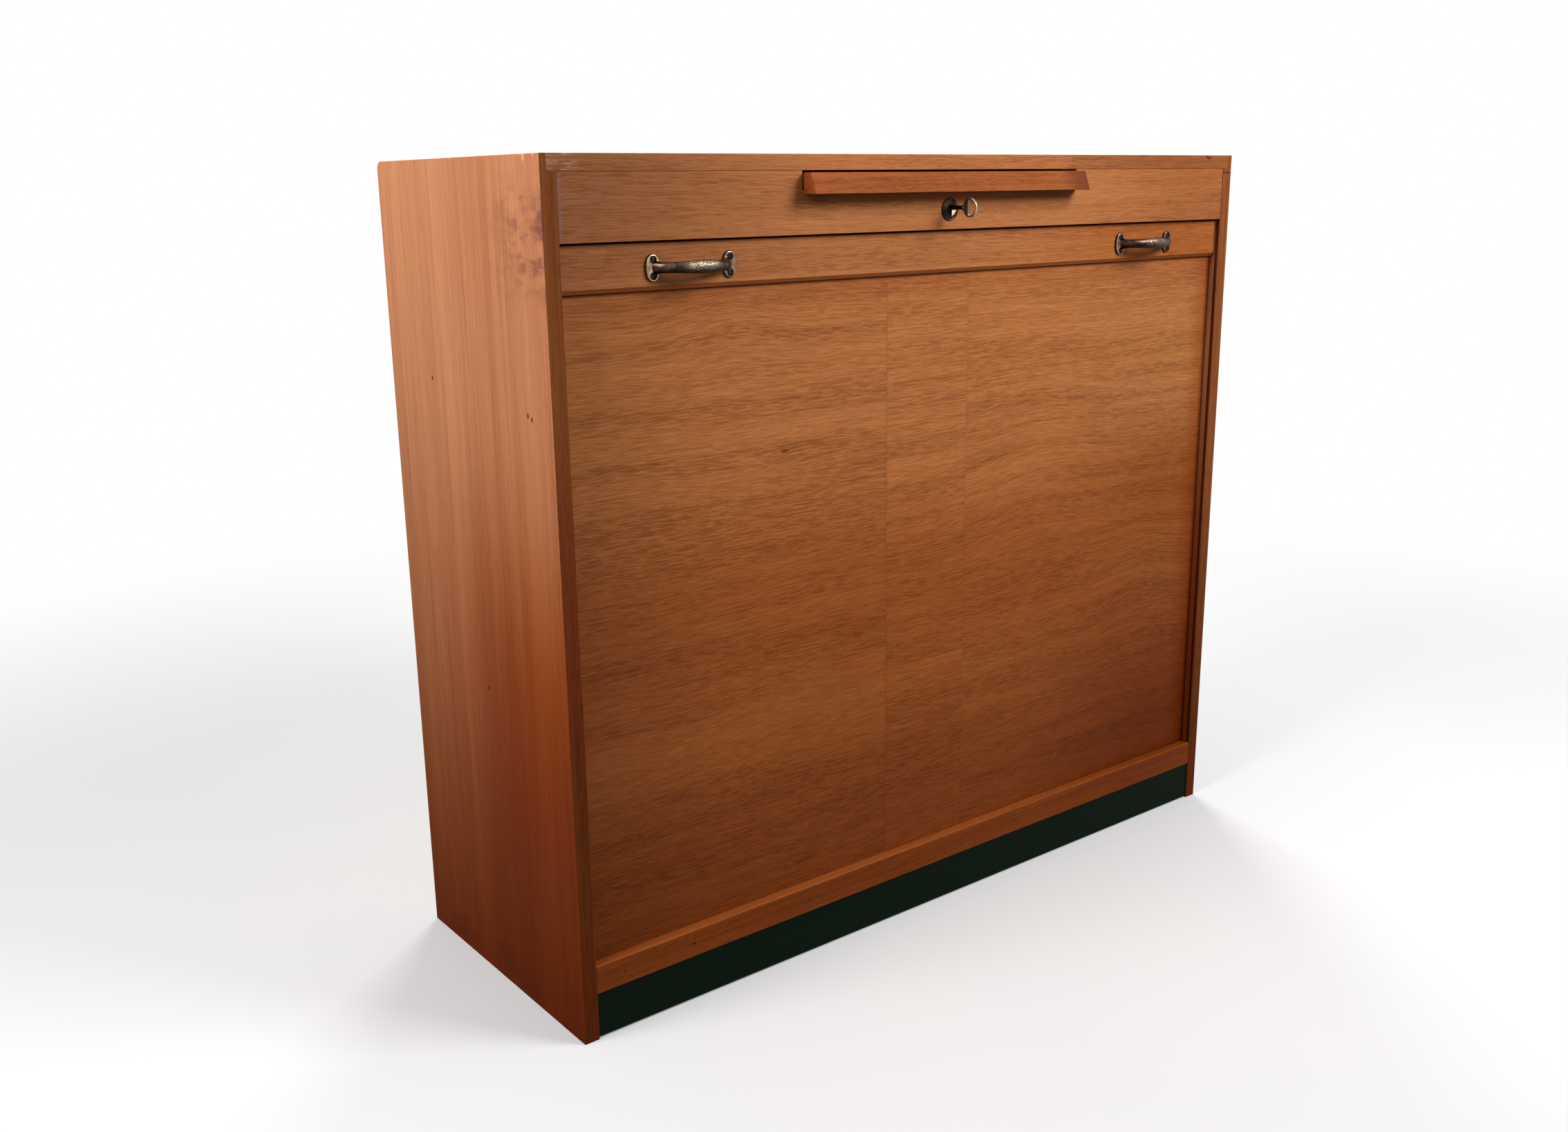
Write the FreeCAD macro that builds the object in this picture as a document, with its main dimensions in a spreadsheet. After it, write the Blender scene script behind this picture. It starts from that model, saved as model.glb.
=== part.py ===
import FreeCAD, Part
import math
import os
import re

import Sketcher

# Tambour cabinet with a curtain that drops behind a sill, a pull-out slide and a lock.
# Lengths are millimetres. +X is the cabinet's width, the front faces -Y, +Z is up.
# The origin lies on the floor, under the middle of the box that holds the cabinet and its key.

Vector = FreeCAD.Vector
Rotation = FreeCAD.Rotation

# Driving dimensions. The sheet gets one cell for each, with the name as its alias.
SIZES = {
    # Carcass
    "cabinet_width": 1200,
    "cabinet_depth": 420,
    "cabinet_height": 1055,
    "side_thickness": 20.5,
    "side_corner_radius": 11,
    "side_lipping_depth": 6,
    "top_thickness": 19,
    "top_bearing": 12.2,
    "top_lipping_depth": 8,
    "fascia_height": 75.5,
    "fascia_thickness": 18,
    "plinth_height": 62,
    "plinth_thickness": 15,
    "plinth_recess": 2,
    "plinth_lift": 2,
    "sill_height": 37.5,
    "sill_edge_chamfer": 1.5,
    "floor_thickness": 18,
    "dust_thickness": 16,
    "false_back_thickness": 5,
    "back_thickness": 6,
    "back_inset": 2,
    "back_bearing": 10,
    "back_rail_height": 59,
    "back_rail_thickness": 18,
    "cleat_size": 20,
    "cleat_setback": 20,
    "corner_block_size": 28,
    # Tambour and its grooves
    "curtain_recess": 15.5,
    "slat_thickness": 9,
    "slat_pitch": 20,
    "slat_gap": 0.2,
    "curtain_tail": 55,
    "bend_radius": 60,
    "groove_depth": 8,
    "groove_clearance": 0.3,
    "groove_top_clearance": 0.5,
    "groove_spare": 60,
    "end_clearance": 1,
    "sill_clearance": 1,
    "interior_clearance": 8,
    "rear_clearance": 7.5,
    "canvas_thickness": 0.8,
    "canvas_inset": 12,
    "canvas_lap": 25,
    "canvas_foot": 4,
    # Lead rail
    "rail_gap": 4.7,
    "rail_height": 51,
    "rail_recess": 7,
    "rail_bevel": 5,
    "rail_side_clearance": 1.5,
    "rail_stop_gap": 1.5,
    # Shelves
    "shelf_thickness": 18,
    "shelf_clearance": 1,
    "shelf_back_clearance": 2,
    "pin_radius": 2.5,
    "pin_fit": 0.05,
    "pin_hole_depth": 10,
    "pin_reach": 9,
    "pin_first_height": 388,
    "pin_pitch": 128,
    "pin_column_inset": 45,
    # Pull-out slide
    "slot_width": 490,
    "slot_height": 23,
    "slide_side_clearance": 3,
    "slide_top_gap": 5.5,
    "slide_thickness": 15,
    "slide_rear_gap": 65.5,
    "slide_front_gap": 1.5,
    "pull_height": 22.5,
    "pull_top_depth": 16.3,
    "pull_foot_depth": 24.5,
    "pull_edge_radius": 1.2,
    "runner_width": 20,
    "runner_groove": 6,
    "runner_ledge": 8,
    "runner_clearance": 0.4,
    "stop_width": 14,
    "stop_depth": 10,
    "stop_setback": 10,
    "stop_side_clearance": 3,
    "stop_gap": 1,
    # Lock, key and strike
    "key_height_in_fascia": 27.5,
    "lock_width": 60,
    "lock_height": 40,
    "lock_thickness": 12,
    "lock_wall": 1,
    "lock_front_wall": 8.5,
    "lock_fit": 0.25,
    "lock_rise": 0.5,
    "bolt_width": 14,
    "bolt_nose_height": 13,
    "bolt_nose_thickness": 7,
    "bolt_plate_thickness": 2,
    "bolt_height": 35,
    "bolt_travel": 14,
    "bolt_clearance": 0.3,
    "key_projection": 50,
    "key_stem_radius": 3.4,
    "key_bow_height": 24.5,
    "key_bow_depth": 24,
    "key_bow_thickness": 3.4,
    "key_bow_wire": 3,
    "key_bow_root": 4.5,
    "key_bit_reach": 9,
    "key_bit_width": 3,
    "key_bit_length": 4.6,
    "key_clearance": 0.4,
    "key_swing_clearance": 1,
    "escutcheon_radius": 14,
    "escutcheon_thickness": 2.4,
    "escutcheon_bevel": 1.2,
    "escutcheon_drop": 3,
    "strike_width": 44,
    "strike_depth": 11,
    "strike_thickness": 1.5,
    "strike_clearance": 0.8,
    # Bow handles
    "handle_inset": 132,
    "handle_length": 126,
    "handle_foot_width": 19,
    "handle_foot_height": 31,
    "handle_foot_thickness": 3,
    "handle_foot_edge": 0.8,
    "handle_projection": 30,
    "handle_neck_height": 11.5,
    "handle_neck_depth": 9,
    "handle_grip_height": 14.5,
    "handle_grip_depth": 11.5,
    "handle_screw_spacing": 18.6,
    # Screws
    "handle_screw_head_radius": 3.2,
    "handle_screw_head_height": 2.2,
    "handle_screw_radius": 1.6,
    "handle_screw_length": 15,
    "wood_screw_head_radius": 3.6,
    "wood_screw_head_height": 2.4,
    "wood_screw_radius": 1.8,
    "back_screw_length": 16,
    "back_screw_inset": 5,
    "back_screw_margin": 60,
    "runner_screw_length": 30,
    "pull_screw_length": 40,
    "small_screw_head_radius": 2.4,
    "small_screw_head_height": 0.9,
    "small_screw_radius": 1.1,
    "small_screw_length": 8,
    "screw_edge": 5,
    # One overrun serves every cut that has to break through a face
    "overrun": 2,
}

# Places and fits worked out from the driving dimensions, each in the sheet's own words
PLACES = {
    "half_width": "cabinet_width / 2",
    "inner_half": "half_width - side_thickness",
    "front": "(key_projection - cabinet_depth) / 2",
    "rear": "front + cabinet_depth",
    "top_under": "cabinet_height - top_thickness",
    "fascia_bottom": "top_under - fascia_height",
    "fascia_back": "front + fascia_thickness",
    "sill_top": "plinth_height + sill_height",
    "rail_top": "fascia_bottom - rail_gap",
    "rail_bottom": "rail_top - rail_height",
    "rail_front": "front + rail_recess",
    "slat_half": "inner_half + groove_depth - end_clearance",
    "slat_front": "front + curtain_recess",
    "slat_back": "slat_front + slat_thickness",
    "path_front": "slat_front + slat_thickness / 2",
    "back_front": "rear - back_inset - back_thickness",
    "path_rear": "back_front - rear_clearance - slat_thickness / 2",
    "bend_front": "path_front + bend_radius",
    "bend_rear": "path_rear - bend_radius",
    "canvas_radius": "bend_radius - slat_thickness / 2",
    "outer_face": "bend_radius + slat_thickness / 2",
    "corner_swell": "sqrt(outer_face ^ 2 + (slat_pitch / 2) ^ 2) - outer_face",
    "groove_half": "slat_thickness / 2 + groove_clearance + corner_swell",
    "travel": "rail_bottom - sill_top - rail_stop_gap",
    "path_behind_bend": "travel + curtain_tail - bend_rear + bend_front",
    "groove_rear_top": "sill_top + path_behind_bend - canvas_radius * pi + groove_spare",
    "floor_front": "slat_back + interior_clearance",
    "false_back_rear": "path_rear - slat_thickness / 2 - interior_clearance",
    "false_back_front": "false_back_rear - false_back_thickness",
    "floor_under": "sill_top - floor_thickness",
    "back_rail_front": "back_front - back_rail_thickness",
    "slide_top": "top_under - slide_top_gap",
    "slide_bottom": "slide_top - slide_thickness",
    "slide_half": "slot_width / 2 - slide_side_clearance",
    "slide_front": "front - slide_front_gap",
    "slide_length": "back_rail_front - slide_rear_gap - slide_front",
    "runner_inner": "slide_half + end_clearance - runner_groove",
    "stop_front": "slide_front + slide_length - stop_setback - stop_width",
    "slide_travel": "stop_front - fascia_back - stop_gap",
    "key_axis": "fascia_bottom + key_height_in_fascia",
    "lock_bottom": "fascia_bottom + lock_rise",
    "lock_front": "front + lock_front_wall",
    "lock_inside": "lock_front + lock_wall",
    "plate_front": "lock_inside + bolt_nose_thickness - bolt_plate_thickness",
    "bolt_channel": "bolt_width / 2 + bolt_clearance",
    "handle_foot_x": "half_width - handle_inset - handle_foot_width / 2",
    "handle_span": "handle_length - handle_foot_width",
    "handle_z": "rail_bottom + rail_height / 2",
}

WORD = re.compile(r"[a-z_]+")


def bound(text):
    """Turns words of the sheet and named places into an expression on the sheet."""

    def swap(match):
        word = match.group(0)
        if word in PLACES:
            return "(" + bound(PLACES[word]) + ")"
        if word in SIZES:
            return "Sizes." + word
        return word

    return WORD.sub(swap, text)


def value(text):
    """The number that an expression in the sheet's words has now."""
    return float(sheet.evalExpression(bound(text)))


doc = FreeCAD.newDocument("tambour_cabinet")
sheet = doc.addObject("Spreadsheet::Sheet", "Sizes")
for row, (alias, number) in enumerate(SIZES.items(), start=1):
    sheet.set(f"A{row}", alias)
    sheet.set(f"B{row}", str(number))
    sheet.setAlias(f"B{row}", alias)
doc.recompute()

parts = []


def keep(item, node):
    """Marks an object as a finished piece, with its node name as the label."""
    item.Label = node
    parts.append(item)
    return item


def bind(item, **bindings):
    """Binds properties to expressions. Two underscores stand for a dot in the name."""
    for path, text in bindings.items():
        item.setExpression(path.replace("__", "."), bound(text))
    return item


def place(item, x, y, z, turn=None):
    """Puts an object at a bound position, with a fixed turn given first."""
    if turn is not None:
        item.Placement = FreeCAD.Placement(Vector(), turn)
    return bind(item, Placement__Base__x=x, Placement__Base__y=y, Placement__Base__z=z)


# Primitives and booleans

def block(name, low, size):
    """Box from its lowest corner and its size, each three expressions."""
    item = doc.addObject("Part::Box", name)
    bind(item, Length=size[0], Width=size[1], Height=size[2])
    return place(item, *low)


def rod(name, start, radius, length, turn=None):
    """Cylinder from the middle of its first face."""
    item = doc.addObject("Part::Cylinder", name)
    bind(item, Radius=radius, Height=length)
    return place(item, *start, turn)


def taper(name, start, radius, end_radius, length, turn=None):
    """Cone frustum from the middle of its first face."""
    item = doc.addObject("Part::Cone", name)
    bind(item, Radius1=radius, Radius2=end_radius, Height=length)
    return place(item, *start, turn)


def fuse(name, items):
    item = doc.addObject("Part::MultiFuse", name)
    item.Shapes = items
    return item


def cut(name, base, tool):
    item = doc.addObject("Part::Cut", name)
    item.Base = base
    item.Tool = tool
    return item


def group(name, items):
    """Several like solids that share one node."""
    item = doc.addObject("Part::Compound", name)
    item.Links = items
    return item


ALONG_X = Rotation(Vector(0, 1, 0), 90)
ALONG_Y = Rotation(Vector(1, 0, 0), -90)
AGAINST_Y = Rotation(Vector(1, 0, 0), 90)
DOWN = Rotation(Vector(1, 0, 0), 180)


# Screws are faceted, which keeps the model light
SCREW_SIDES = 8


def screw(name, start, size, length, turn=None):
    """Screw with its head's outer face at start and its shank along the turned Z axis."""
    made = []
    for piece, radius, height in (("head", f"{size}_screw_head_radius",
                                   f"{size}_screw_head_height"),
                                  ("shank", f"{size}_screw_radius", length)):
        item = doc.addObject("Part::Prism", f"{name}_{piece}")
        item.Polygon = SCREW_SIDES
        bind(item, Circumradius=radius, Height=height)
        made.append(place(item, *start, turn))
    return fuse(name, made)


# Bodies with sketches

FLIP = {"YZ": 1, "XZ": -1, "XY": 1}


def origin_plane(body, plane):
    for feature in body.Origin.OriginFeatures:
        if feature.Role == plane + "_Plane":
            return feature


def new_body(name):
    return doc.addObject("PartDesign::Body", name)


def new_sketch(body, name, plane, level):
    """Sketch on a plane of the body's own origin, moved along the row axis to a bound level."""
    sketch = body.newObject("Sketcher::SketchObject", name)
    sketch.AttachmentSupport = [(origin_plane(body, plane), "")]
    sketch.MapMode = "FlatFace"
    offset = level if FLIP[plane] > 0 else f"-({level})"
    sketch.setExpression("AttachmentOffset.Base.z", bound(offset))
    return sketch


def rule(sketch, constraint, name, text=None):
    """Adds a constraint, and binds it when it has an expression."""
    index = sketch.addConstraint(constraint)
    if text is not None:
        sketch.renameConstraint(index, name)
        sketch.setExpression("Constraints." + name, bound(text))
    return index


def draw_outline(sketch, corners):
    """Closed outline. A corner is two expressions, or three where it is rounded to a radius.

    The sides that meet a rounded corner are level or upright.
    """
    count = len(corners)
    points = [Vector(value(c[0]), value(c[1]), 0) for c in corners]
    rounded = [len(c) == 3 for c in corners]
    starts = list(points)
    ends = list(points)
    arcs = {}
    for i in range(count):
        if not rounded[i]:
            continue
        arriving = (points[i] - points[i - 1]).normalize()
        leaving = (points[(i + 1) % count] - points[i]).normalize()
        radius = value(corners[i][2])
        left_turn = arriving.cross(leaving).z > 0
        ends[i] = points[i] - arriving * radius
        starts[i] = points[i] + leaving * radius
        centre = ends[i] + leaving * radius
        first, last = (ends[i], starts[i]) if left_turn else (starts[i], ends[i])
        angles = [math.atan2((p - centre).y, (p - centre).x) for p in (first, last)]
        circle = Part.Circle(centre, Vector(0, 0, 1), radius)
        arc = sketch.addGeometry(Part.ArcOfCircle(circle, *angles))
        arcs[i] = (arc, 1 if left_turn else 2, 2 if left_turn else 1)
    lines = []
    for i in range(count):
        line = Part.LineSegment(starts[i], ends[(i + 1) % count])
        lines.append(sketch.addGeometry(line))
    for i in range(count):
        before = lines[i - 1]
        line = lines[i]
        following = (i + 1) % count
        if rounded[i]:
            arc, entry, leave = arcs[i]
            rule(sketch, Sketcher.Constraint("Tangent", before, 2, arc, entry), "")
            rule(sketch, Sketcher.Constraint("Tangent", arc, leave, line, 1), "")
            radius = Sketcher.Constraint("Radius", arc, value(corners[i][2]))
            rule(sketch, radius, f"radius_{i}", corners[i][2])
        else:
            rule(sketch, Sketcher.Constraint("Coincident", before, 2, line, 1), "")
            across = Sketcher.Constraint("DistanceX", line, 1, points[i].x)
            rule(sketch, across, f"across_{i}", corners[i][0])
            upward = Sketcher.Constraint("DistanceY", line, 1, points[i].y)
            rule(sketch, upward, f"upward_{i}", corners[i][1])
        if not (rounded[i] or rounded[following]):
            continue
        step = points[following] - points[i]
        level = abs(step.x) > abs(step.y)
        rule(sketch, Sketcher.Constraint("Horizontal" if level else "Vertical", line), "")
        if rounded[i] and rounded[following]:
            kind = "DistanceY" if level else "DistanceX"
            spot = points[i].y if level else points[i].x
            text = corners[i][1] if level else corners[i][0]
            rule(sketch, Sketcher.Constraint(kind, line, 1, spot), f"run_{i}", text)


def draw_circles(sketch, centres, radius):
    for i, (across, upward) in enumerate(centres):
        spot = Vector(value(across), value(upward), 0)
        ring = sketch.addGeometry(Part.Circle(spot, Vector(0, 0, 1), value(radius)))
        rule(sketch, Sketcher.Constraint("DistanceX", ring, 3, spot.x), f"across_{i}", across)
        rule(sketch, Sketcher.Constraint("DistanceY", ring, 3, spot.y), f"upward_{i}", upward)
        rule(sketch, Sketcher.Constraint("Radius", ring, value(radius)), f"radius_{i}", radius)


def pad(body, name, plane, start, thickness, corners):
    """Solid from start to start + thickness along the plane's row axis."""
    level = start if FLIP[plane] > 0 else f"{start} + ({thickness})"
    sketch = new_sketch(body, name + "_outline", plane, level)
    draw_outline(sketch, corners)
    feature = body.newObject("PartDesign::Pad", name)
    feature.Profile = sketch
    bind(feature, Length=thickness)
    return feature


def new_pocket(body, name, sketch, depth):
    feature = body.newObject("PartDesign::Pocket", name)
    feature.Profile = sketch
    bind(feature, Length=depth)
    return feature


def pocket(body, name, plane, start, depth, corners):
    """Recess from start to start + depth along the plane's row axis."""
    level = f"{start} + ({depth})" if FLIP[plane] > 0 else start
    sketch = new_sketch(body, name + "_outline", plane, level)
    draw_outline(sketch, corners)
    return new_pocket(body, name, sketch, depth)


def bores(body, name, plane, start, depth, centres, radius):
    """Round holes from start to start + depth along the plane's row axis."""
    level = f"{start} + ({depth})" if FLIP[plane] > 0 else start
    sketch = new_sketch(body, name + "_circles", plane, level)
    draw_circles(sketch, centres, radius)
    return new_pocket(body, name, sketch, depth)


def rectangle(left, right, low, high):
    return [(left, low), (right, low), (right, high), (left, high)]


def board(node, plane, start, thickness, corners):
    """Flat piece made as one pad."""
    body = new_body(node)
    pad(body, node + "_board", plane, start, thickness, corners)
    return keep(body, node)


SIDES = (("left", -1), ("right", 1))


def span(sign, near, far):
    """Start of a stretch from near to far off the middle, on the left (-1) or the right."""
    return f"-({far})" if sign < 0 else near


# Sides, with the serpentine groove that the curtain runs in and rows of holes for the
# shelves' pins. Rows are counted from the lowest, which is 0.

PIN_ROWS = 3
LOWER_SHELF_ROW = 0
UPPER_SHELF_ROW = 2


def groove_corners():
    """Outline of the groove: down the front, round under the floor and up the rear."""
    outer, inner = "bend_radius + groove_half", "bend_radius - groove_half"
    top = "rail_top + groove_top_clearance"
    low = "sill_top - bend_radius"
    return [
        ("path_front - groove_half", top),
        ("path_front - groove_half", f"{low} - groove_half", outer),
        ("path_rear + groove_half", f"{low} - groove_half", outer),
        ("path_rear + groove_half", "groove_rear_top"),
        ("path_rear - groove_half", "groove_rear_top"),
        ("path_rear - groove_half", f"{low} + groove_half", inner),
        ("path_front + groove_half", f"{low} + groove_half", inner),
        ("path_front + groove_half", top),
    ]


def side_panel(hand, sign):
    node = hand + "_side"
    body = new_body(node)
    lipping_back = "front + side_lipping_depth"
    pad(body, node + "_board", "YZ", span(sign, "inner_half", "half_width"), "side_thickness", [
        (lipping_back, "0"),
        ("rear", "0"),
        ("rear", "cabinet_height", "side_corner_radius"),
        (lipping_back, "cabinet_height"),
    ])
    pocket(body, node + "_groove", "YZ", span(sign, "inner_half", "inner_half + groove_depth"),
           "groove_depth", groove_corners())
    bearing = span(sign, "inner_half", "inner_half + top_bearing")
    pocket(body, node + "_top_rebate", "YZ", bearing, "top_bearing",
           rectangle("front", "rear + overrun", "top_under", "cabinet_height + overrun"))
    bearing = span(sign, "inner_half", "inner_half + back_bearing")
    pocket(body, node + "_back_rebate", "YZ", bearing, "back_bearing",
           rectangle("back_front", "rear + overrun", "-overrun", "top_under"))
    first = "pin_first_height"
    columns = [("floor_front + pin_column_inset", first),
               ("false_back_front - pin_column_inset", first)]
    hole = bores(body, node + "_pin_holes", "YZ",
                 span(sign, "inner_half", "inner_half + pin_hole_depth"), "pin_hole_depth",
                 columns, "pin_radius + pin_fit")
    rows = body.newObject("PartDesign::LinearPattern", node + "_pin_rows")
    rows.Originals = [hole]
    rows.Direction = (hole.Profile[0], ["V_Axis"])
    rows.Occurrences = PIN_ROWS
    bind(rows, Length=f"pin_pitch * {PIN_ROWS - 1}")
    body.Tip = rows
    keep(body, node)


def side_lipping(hand, sign):
    """Solid edge of a side, notched at its inner top corner for the top's lipping."""
    lip, inner = "half_width", "inner_half"
    notch = "inner_half + top_bearing"
    near, far, step = (f"-({t})" if sign < 0 else t for t in (inner, lip, notch))
    board(hand + "_lipping", "XZ", "front", "side_lipping_depth", [
        (near, "0"), (far, "0"), (far, "cabinet_height"), (step, "cabinet_height"),
        (step, "top_under"), (near, "top_under"),
    ])


for hand, sign in SIDES:
    side_panel(hand, sign)
    side_lipping(hand, sign)


# Top and the frame under it

def wide_board(node, half, y, z, depth, height):
    """Box that spans the cabinet, centred on its middle."""
    return keep(block(node, (f"-({half})", y, z), (f"2 * ({half})", depth, height)), node)


top_half = "inner_half + top_bearing"
board("top_panel", "YZ", f"-({top_half})", f"2 * ({top_half})", [
    ("front + top_lipping_depth", "top_under"),
    ("rear", "top_under"),
    ("rear", "cabinet_height", "side_corner_radius"),
    ("front + top_lipping_depth", "cabinet_height"),
])
wide_board("top_lipping", top_half, "front", "top_under", "top_lipping_depth", "top_thickness")

KEYHOLE_SLOT = "key_bit_reach + key_clearance"


def keyhole(name, start, depth):
    """Round hole for the key's stem with a slot below it for the bit, through a wall in Y."""
    stem = rod(name + "_round", ("0", start, "key_axis"), "key_stem_radius + key_clearance",
               depth, ALONG_Y)
    half_slot = "key_bit_width / 2 + key_clearance"
    slot = block(name + "_slot", (f"-({half_slot})", start, f"key_axis - ({KEYHOLE_SLOT})"),
                 (f"2 * ({half_slot})", depth, KEYHOLE_SLOT))
    return fuse(name, [stem, slot])


def fascia_rail():
    """Rail under the top: notched for the slide, and let in at the back for the lock."""
    body = new_body("fascia_board")
    pad(body, "fascia_pad", "XZ", "front", "fascia_thickness", [
        ("-inner_half", "fascia_bottom"),
        ("inner_half", "fascia_bottom"),
        ("inner_half", "top_under"),
        ("slot_width / 2", "top_under"),
        ("slot_width / 2", "top_under - slot_height"),
        ("-slot_width / 2", "top_under - slot_height"),
        ("-slot_width / 2", "top_under"),
        ("-inner_half", "top_under"),
    ])
    half = "lock_width / 2 + lock_fit"
    pocket(body, "fascia_lock_mortise", "XZ", "lock_front",
           "fascia_thickness - lock_front_wall + overrun",
           rectangle(f"-({half})", half, "fascia_bottom - overrun",
                     "lock_bottom + lock_height + lock_fit"))
    hole = keyhole("fascia_keyhole", "front - overrun", "lock_front_wall + 2 * overrun")
    keep(cut("fascia_rail", body, hole), "fascia_rail")


fascia_rail()

notch_half = "lock_width / 2 + lock_fit"
notch_back = "lock_front + lock_thickness + lock_fit"
board("dust_panel", "XY", "fascia_bottom", "dust_thickness", [
    ("-inner_half", "fascia_back"),
    (f"-({notch_half})", "fascia_back"),
    (f"-({notch_half})", notch_back),
    (notch_half, notch_back),
    (notch_half, "fascia_back"),
    ("inner_half", "fascia_back"),
    ("inner_half", "false_back_rear"),
    ("-inner_half", "false_back_rear"),
])
wide_board("back_rail", "inner_half", "back_rail_front", "top_under - back_rail_height",
           "back_rail_thickness", "back_rail_height")


# Floor, backs, sill and plinths

wide_board("floor_panel", "inner_half", "floor_front", "floor_under",
           "false_back_rear - floor_front", "floor_thickness")
wide_board("false_back", "inner_half", "false_back_front", "sill_top",
           "false_back_thickness", "fascia_bottom - sill_top")
wide_board("back_panel", "inner_half + back_bearing", "back_front", "plinth_lift",
           "back_thickness", "top_under - plinth_lift")
sill_back = "slat_front - sill_clearance"
board("sill_rail", "YZ", "-inner_half", "2 * inner_half", [
    ("front", "plinth_height"),
    (sill_back, "plinth_height"),
    (sill_back, "sill_top"),
    ("front + sill_edge_chamfer", "sill_top"),
    ("front", "sill_top - sill_edge_chamfer"),
])
wide_board("front_plinth", "inner_half", "front + plinth_recess", "plinth_lift",
           "plinth_thickness", "plinth_height - plinth_lift")
wide_board("back_plinth", "inner_half", "back_front - plinth_thickness", "plinth_lift",
           "plinth_thickness", "plinth_height - plinth_lift")


def cleats(node, z, y, end):
    """A batten on each side, under the panel whose lower face is at z."""
    made = []
    for hand, sign in SIDES:
        x = span(sign, "inner_half - cleat_size", "inner_half")
        made.append(block(f"{node}_{hand}", (x, y, f"{z} - cleat_size"),
                          ("cleat_size", f"{end} - ({y})", "cleat_size")))
    keep(group(node, made), node)


cleats("floor_cleats", "floor_under", "bend_front - cleat_setback", "bend_rear + cleat_setback")
cleats("dust_cleats", "fascia_bottom", "floor_front + cleat_setback", "false_back_front")


def corner_blocks():
    """Three-sided blocks glued behind the plinths, under the curtain's path."""
    made = []
    ends = (("front", "front + plinth_recess + plinth_thickness", 1),
            ("back", "back_front - plinth_thickness", -1))
    for hand, sign in SIDES:
        wall = f"{sign} * inner_half"
        for end, y, inward in ends:
            body = new_body(f"corner_block_{hand}_{end}")
            pad(body, body.Name + "_pad", "XY", "plinth_lift", "corner_block_size", [
                (wall, y),
                (f"{wall} - {sign} * corner_block_size", y),
                (wall, f"{y} + {inward} * corner_block_size"),
            ])
            made.append(body)
    keep(group("corner_blocks", made), "corner_blocks")


corner_blocks()


BACK_SCREWS_UPRIGHT = 3


def back_screws():
    """Screws down both edges of the back panel, and one into the rail and into the plinth."""
    face = "back_front + back_thickness"
    low = "plinth_lift + back_screw_margin"
    rise = f"(top_under - back_screw_margin - ({low})) / {BACK_SCREWS_UPRIGHT - 1}"
    spots = [("0", "top_under - back_rail_height / 2"), ("0", "plinth_height / 2")]
    for hand, sign in SIDES:
        for i in range(BACK_SCREWS_UPRIGHT):
            spots.append((f"{sign} * (inner_half + back_screw_inset)", f"{low} + {rise} * {i}"))
    made = [screw(f"back_screw_{i}", (x, face, z), "wood", "back_screw_length", AGAINST_Y)
            for i, (x, z) in enumerate(spots)]
    keep(group("back_screws", made), "back_screws")


back_screws()


# Shelves on pins

def shelf(node, row):
    bottom = f"pin_first_height + pin_pitch * {row} + pin_radius"
    wide_board(node, "inner_half - shelf_clearance", "floor_front", bottom,
               "false_back_front - shelf_back_clearance - floor_front", "shelf_thickness")


shelf("lower_shelf", LOWER_SHELF_ROW)
shelf("upper_shelf", UPPER_SHELF_ROW)


def shelf_pins():
    """Eight round pins, each half in a side's hole and half under a shelf."""
    made = []
    columns = ("floor_front + pin_column_inset", "false_back_front - pin_column_inset")
    for row in (LOWER_SHELF_ROW, UPPER_SHELF_ROW):
        z = f"pin_first_height + pin_pitch * {row}"
        for hand, sign in SIDES:
            for y in columns:
                x = span(sign, "inner_half - pin_reach", "inner_half + pin_hole_depth")
                made.append(rod(f"shelf_pin_{len(made)}", (x, y, z), "pin_radius",
                                "pin_reach + pin_hole_depth", ALONG_X))
    keep(group("shelf_pins", made), "shelf_pins")


shelf_pins()


# Pull-out slide with its runners. The shares place screws along the bar and the runners.

PULL_SCREW_SHARES = (-0.7, 0.7)
RUNNER_SCREW_SHARES = (0.12, 0.88)


def slide_pull():
    """Bar glued and screwed to the slide's front edge; its face leans out towards the foot."""
    body = new_body("slide_pull")
    low = "slide_top - pull_height"
    bar = pad(body, "slide_pull_bar", "YZ", "-slot_width / 2", "slot_width", [
        ("slide_front", low),
        ("slide_front", "slide_top"),
        ("slide_front - pull_top_depth", "slide_top"),
        ("slide_front - pull_foot_depth", low),
    ])
    doc.recompute()
    back = value("slide_front - pull_edge_radius")
    names = [f"Edge{i}" for i, edge in enumerate(bar.Shape.Edges, start=1)
             if edge.BoundBox.YMax < back]
    easing = body.newObject("PartDesign::Fillet", "slide_pull_easing")
    easing.Base = (bar, names)
    bind(easing, Radius="pull_edge_radius")
    keep(body, "slide_pull")


def slide():
    """Board with a batten under its rear edge that stops it against the fascia."""
    keep(block("slide_board", ("-slide_half", "slide_front", "slide_bottom"),
               ("2 * slide_half", "slide_length", "slide_thickness")), "slide_board")
    wide_board("slide_stop", "runner_inner - stop_side_clearance", "stop_front",
               "slide_bottom - stop_depth", "stop_width", "stop_depth")
    made = []
    for i, share in enumerate(PULL_SCREW_SHARES):
        spot = (f"slide_half * {share}", "slide_front - pull_top_depth / 2",
                "slide_bottom + slide_thickness / 2")
        made.append(screw(f"pull_screw_{i}", spot, "wood", "pull_screw_length", ALONG_Y))
    keep(group("pull_screws", made), "pull_screws")


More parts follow.
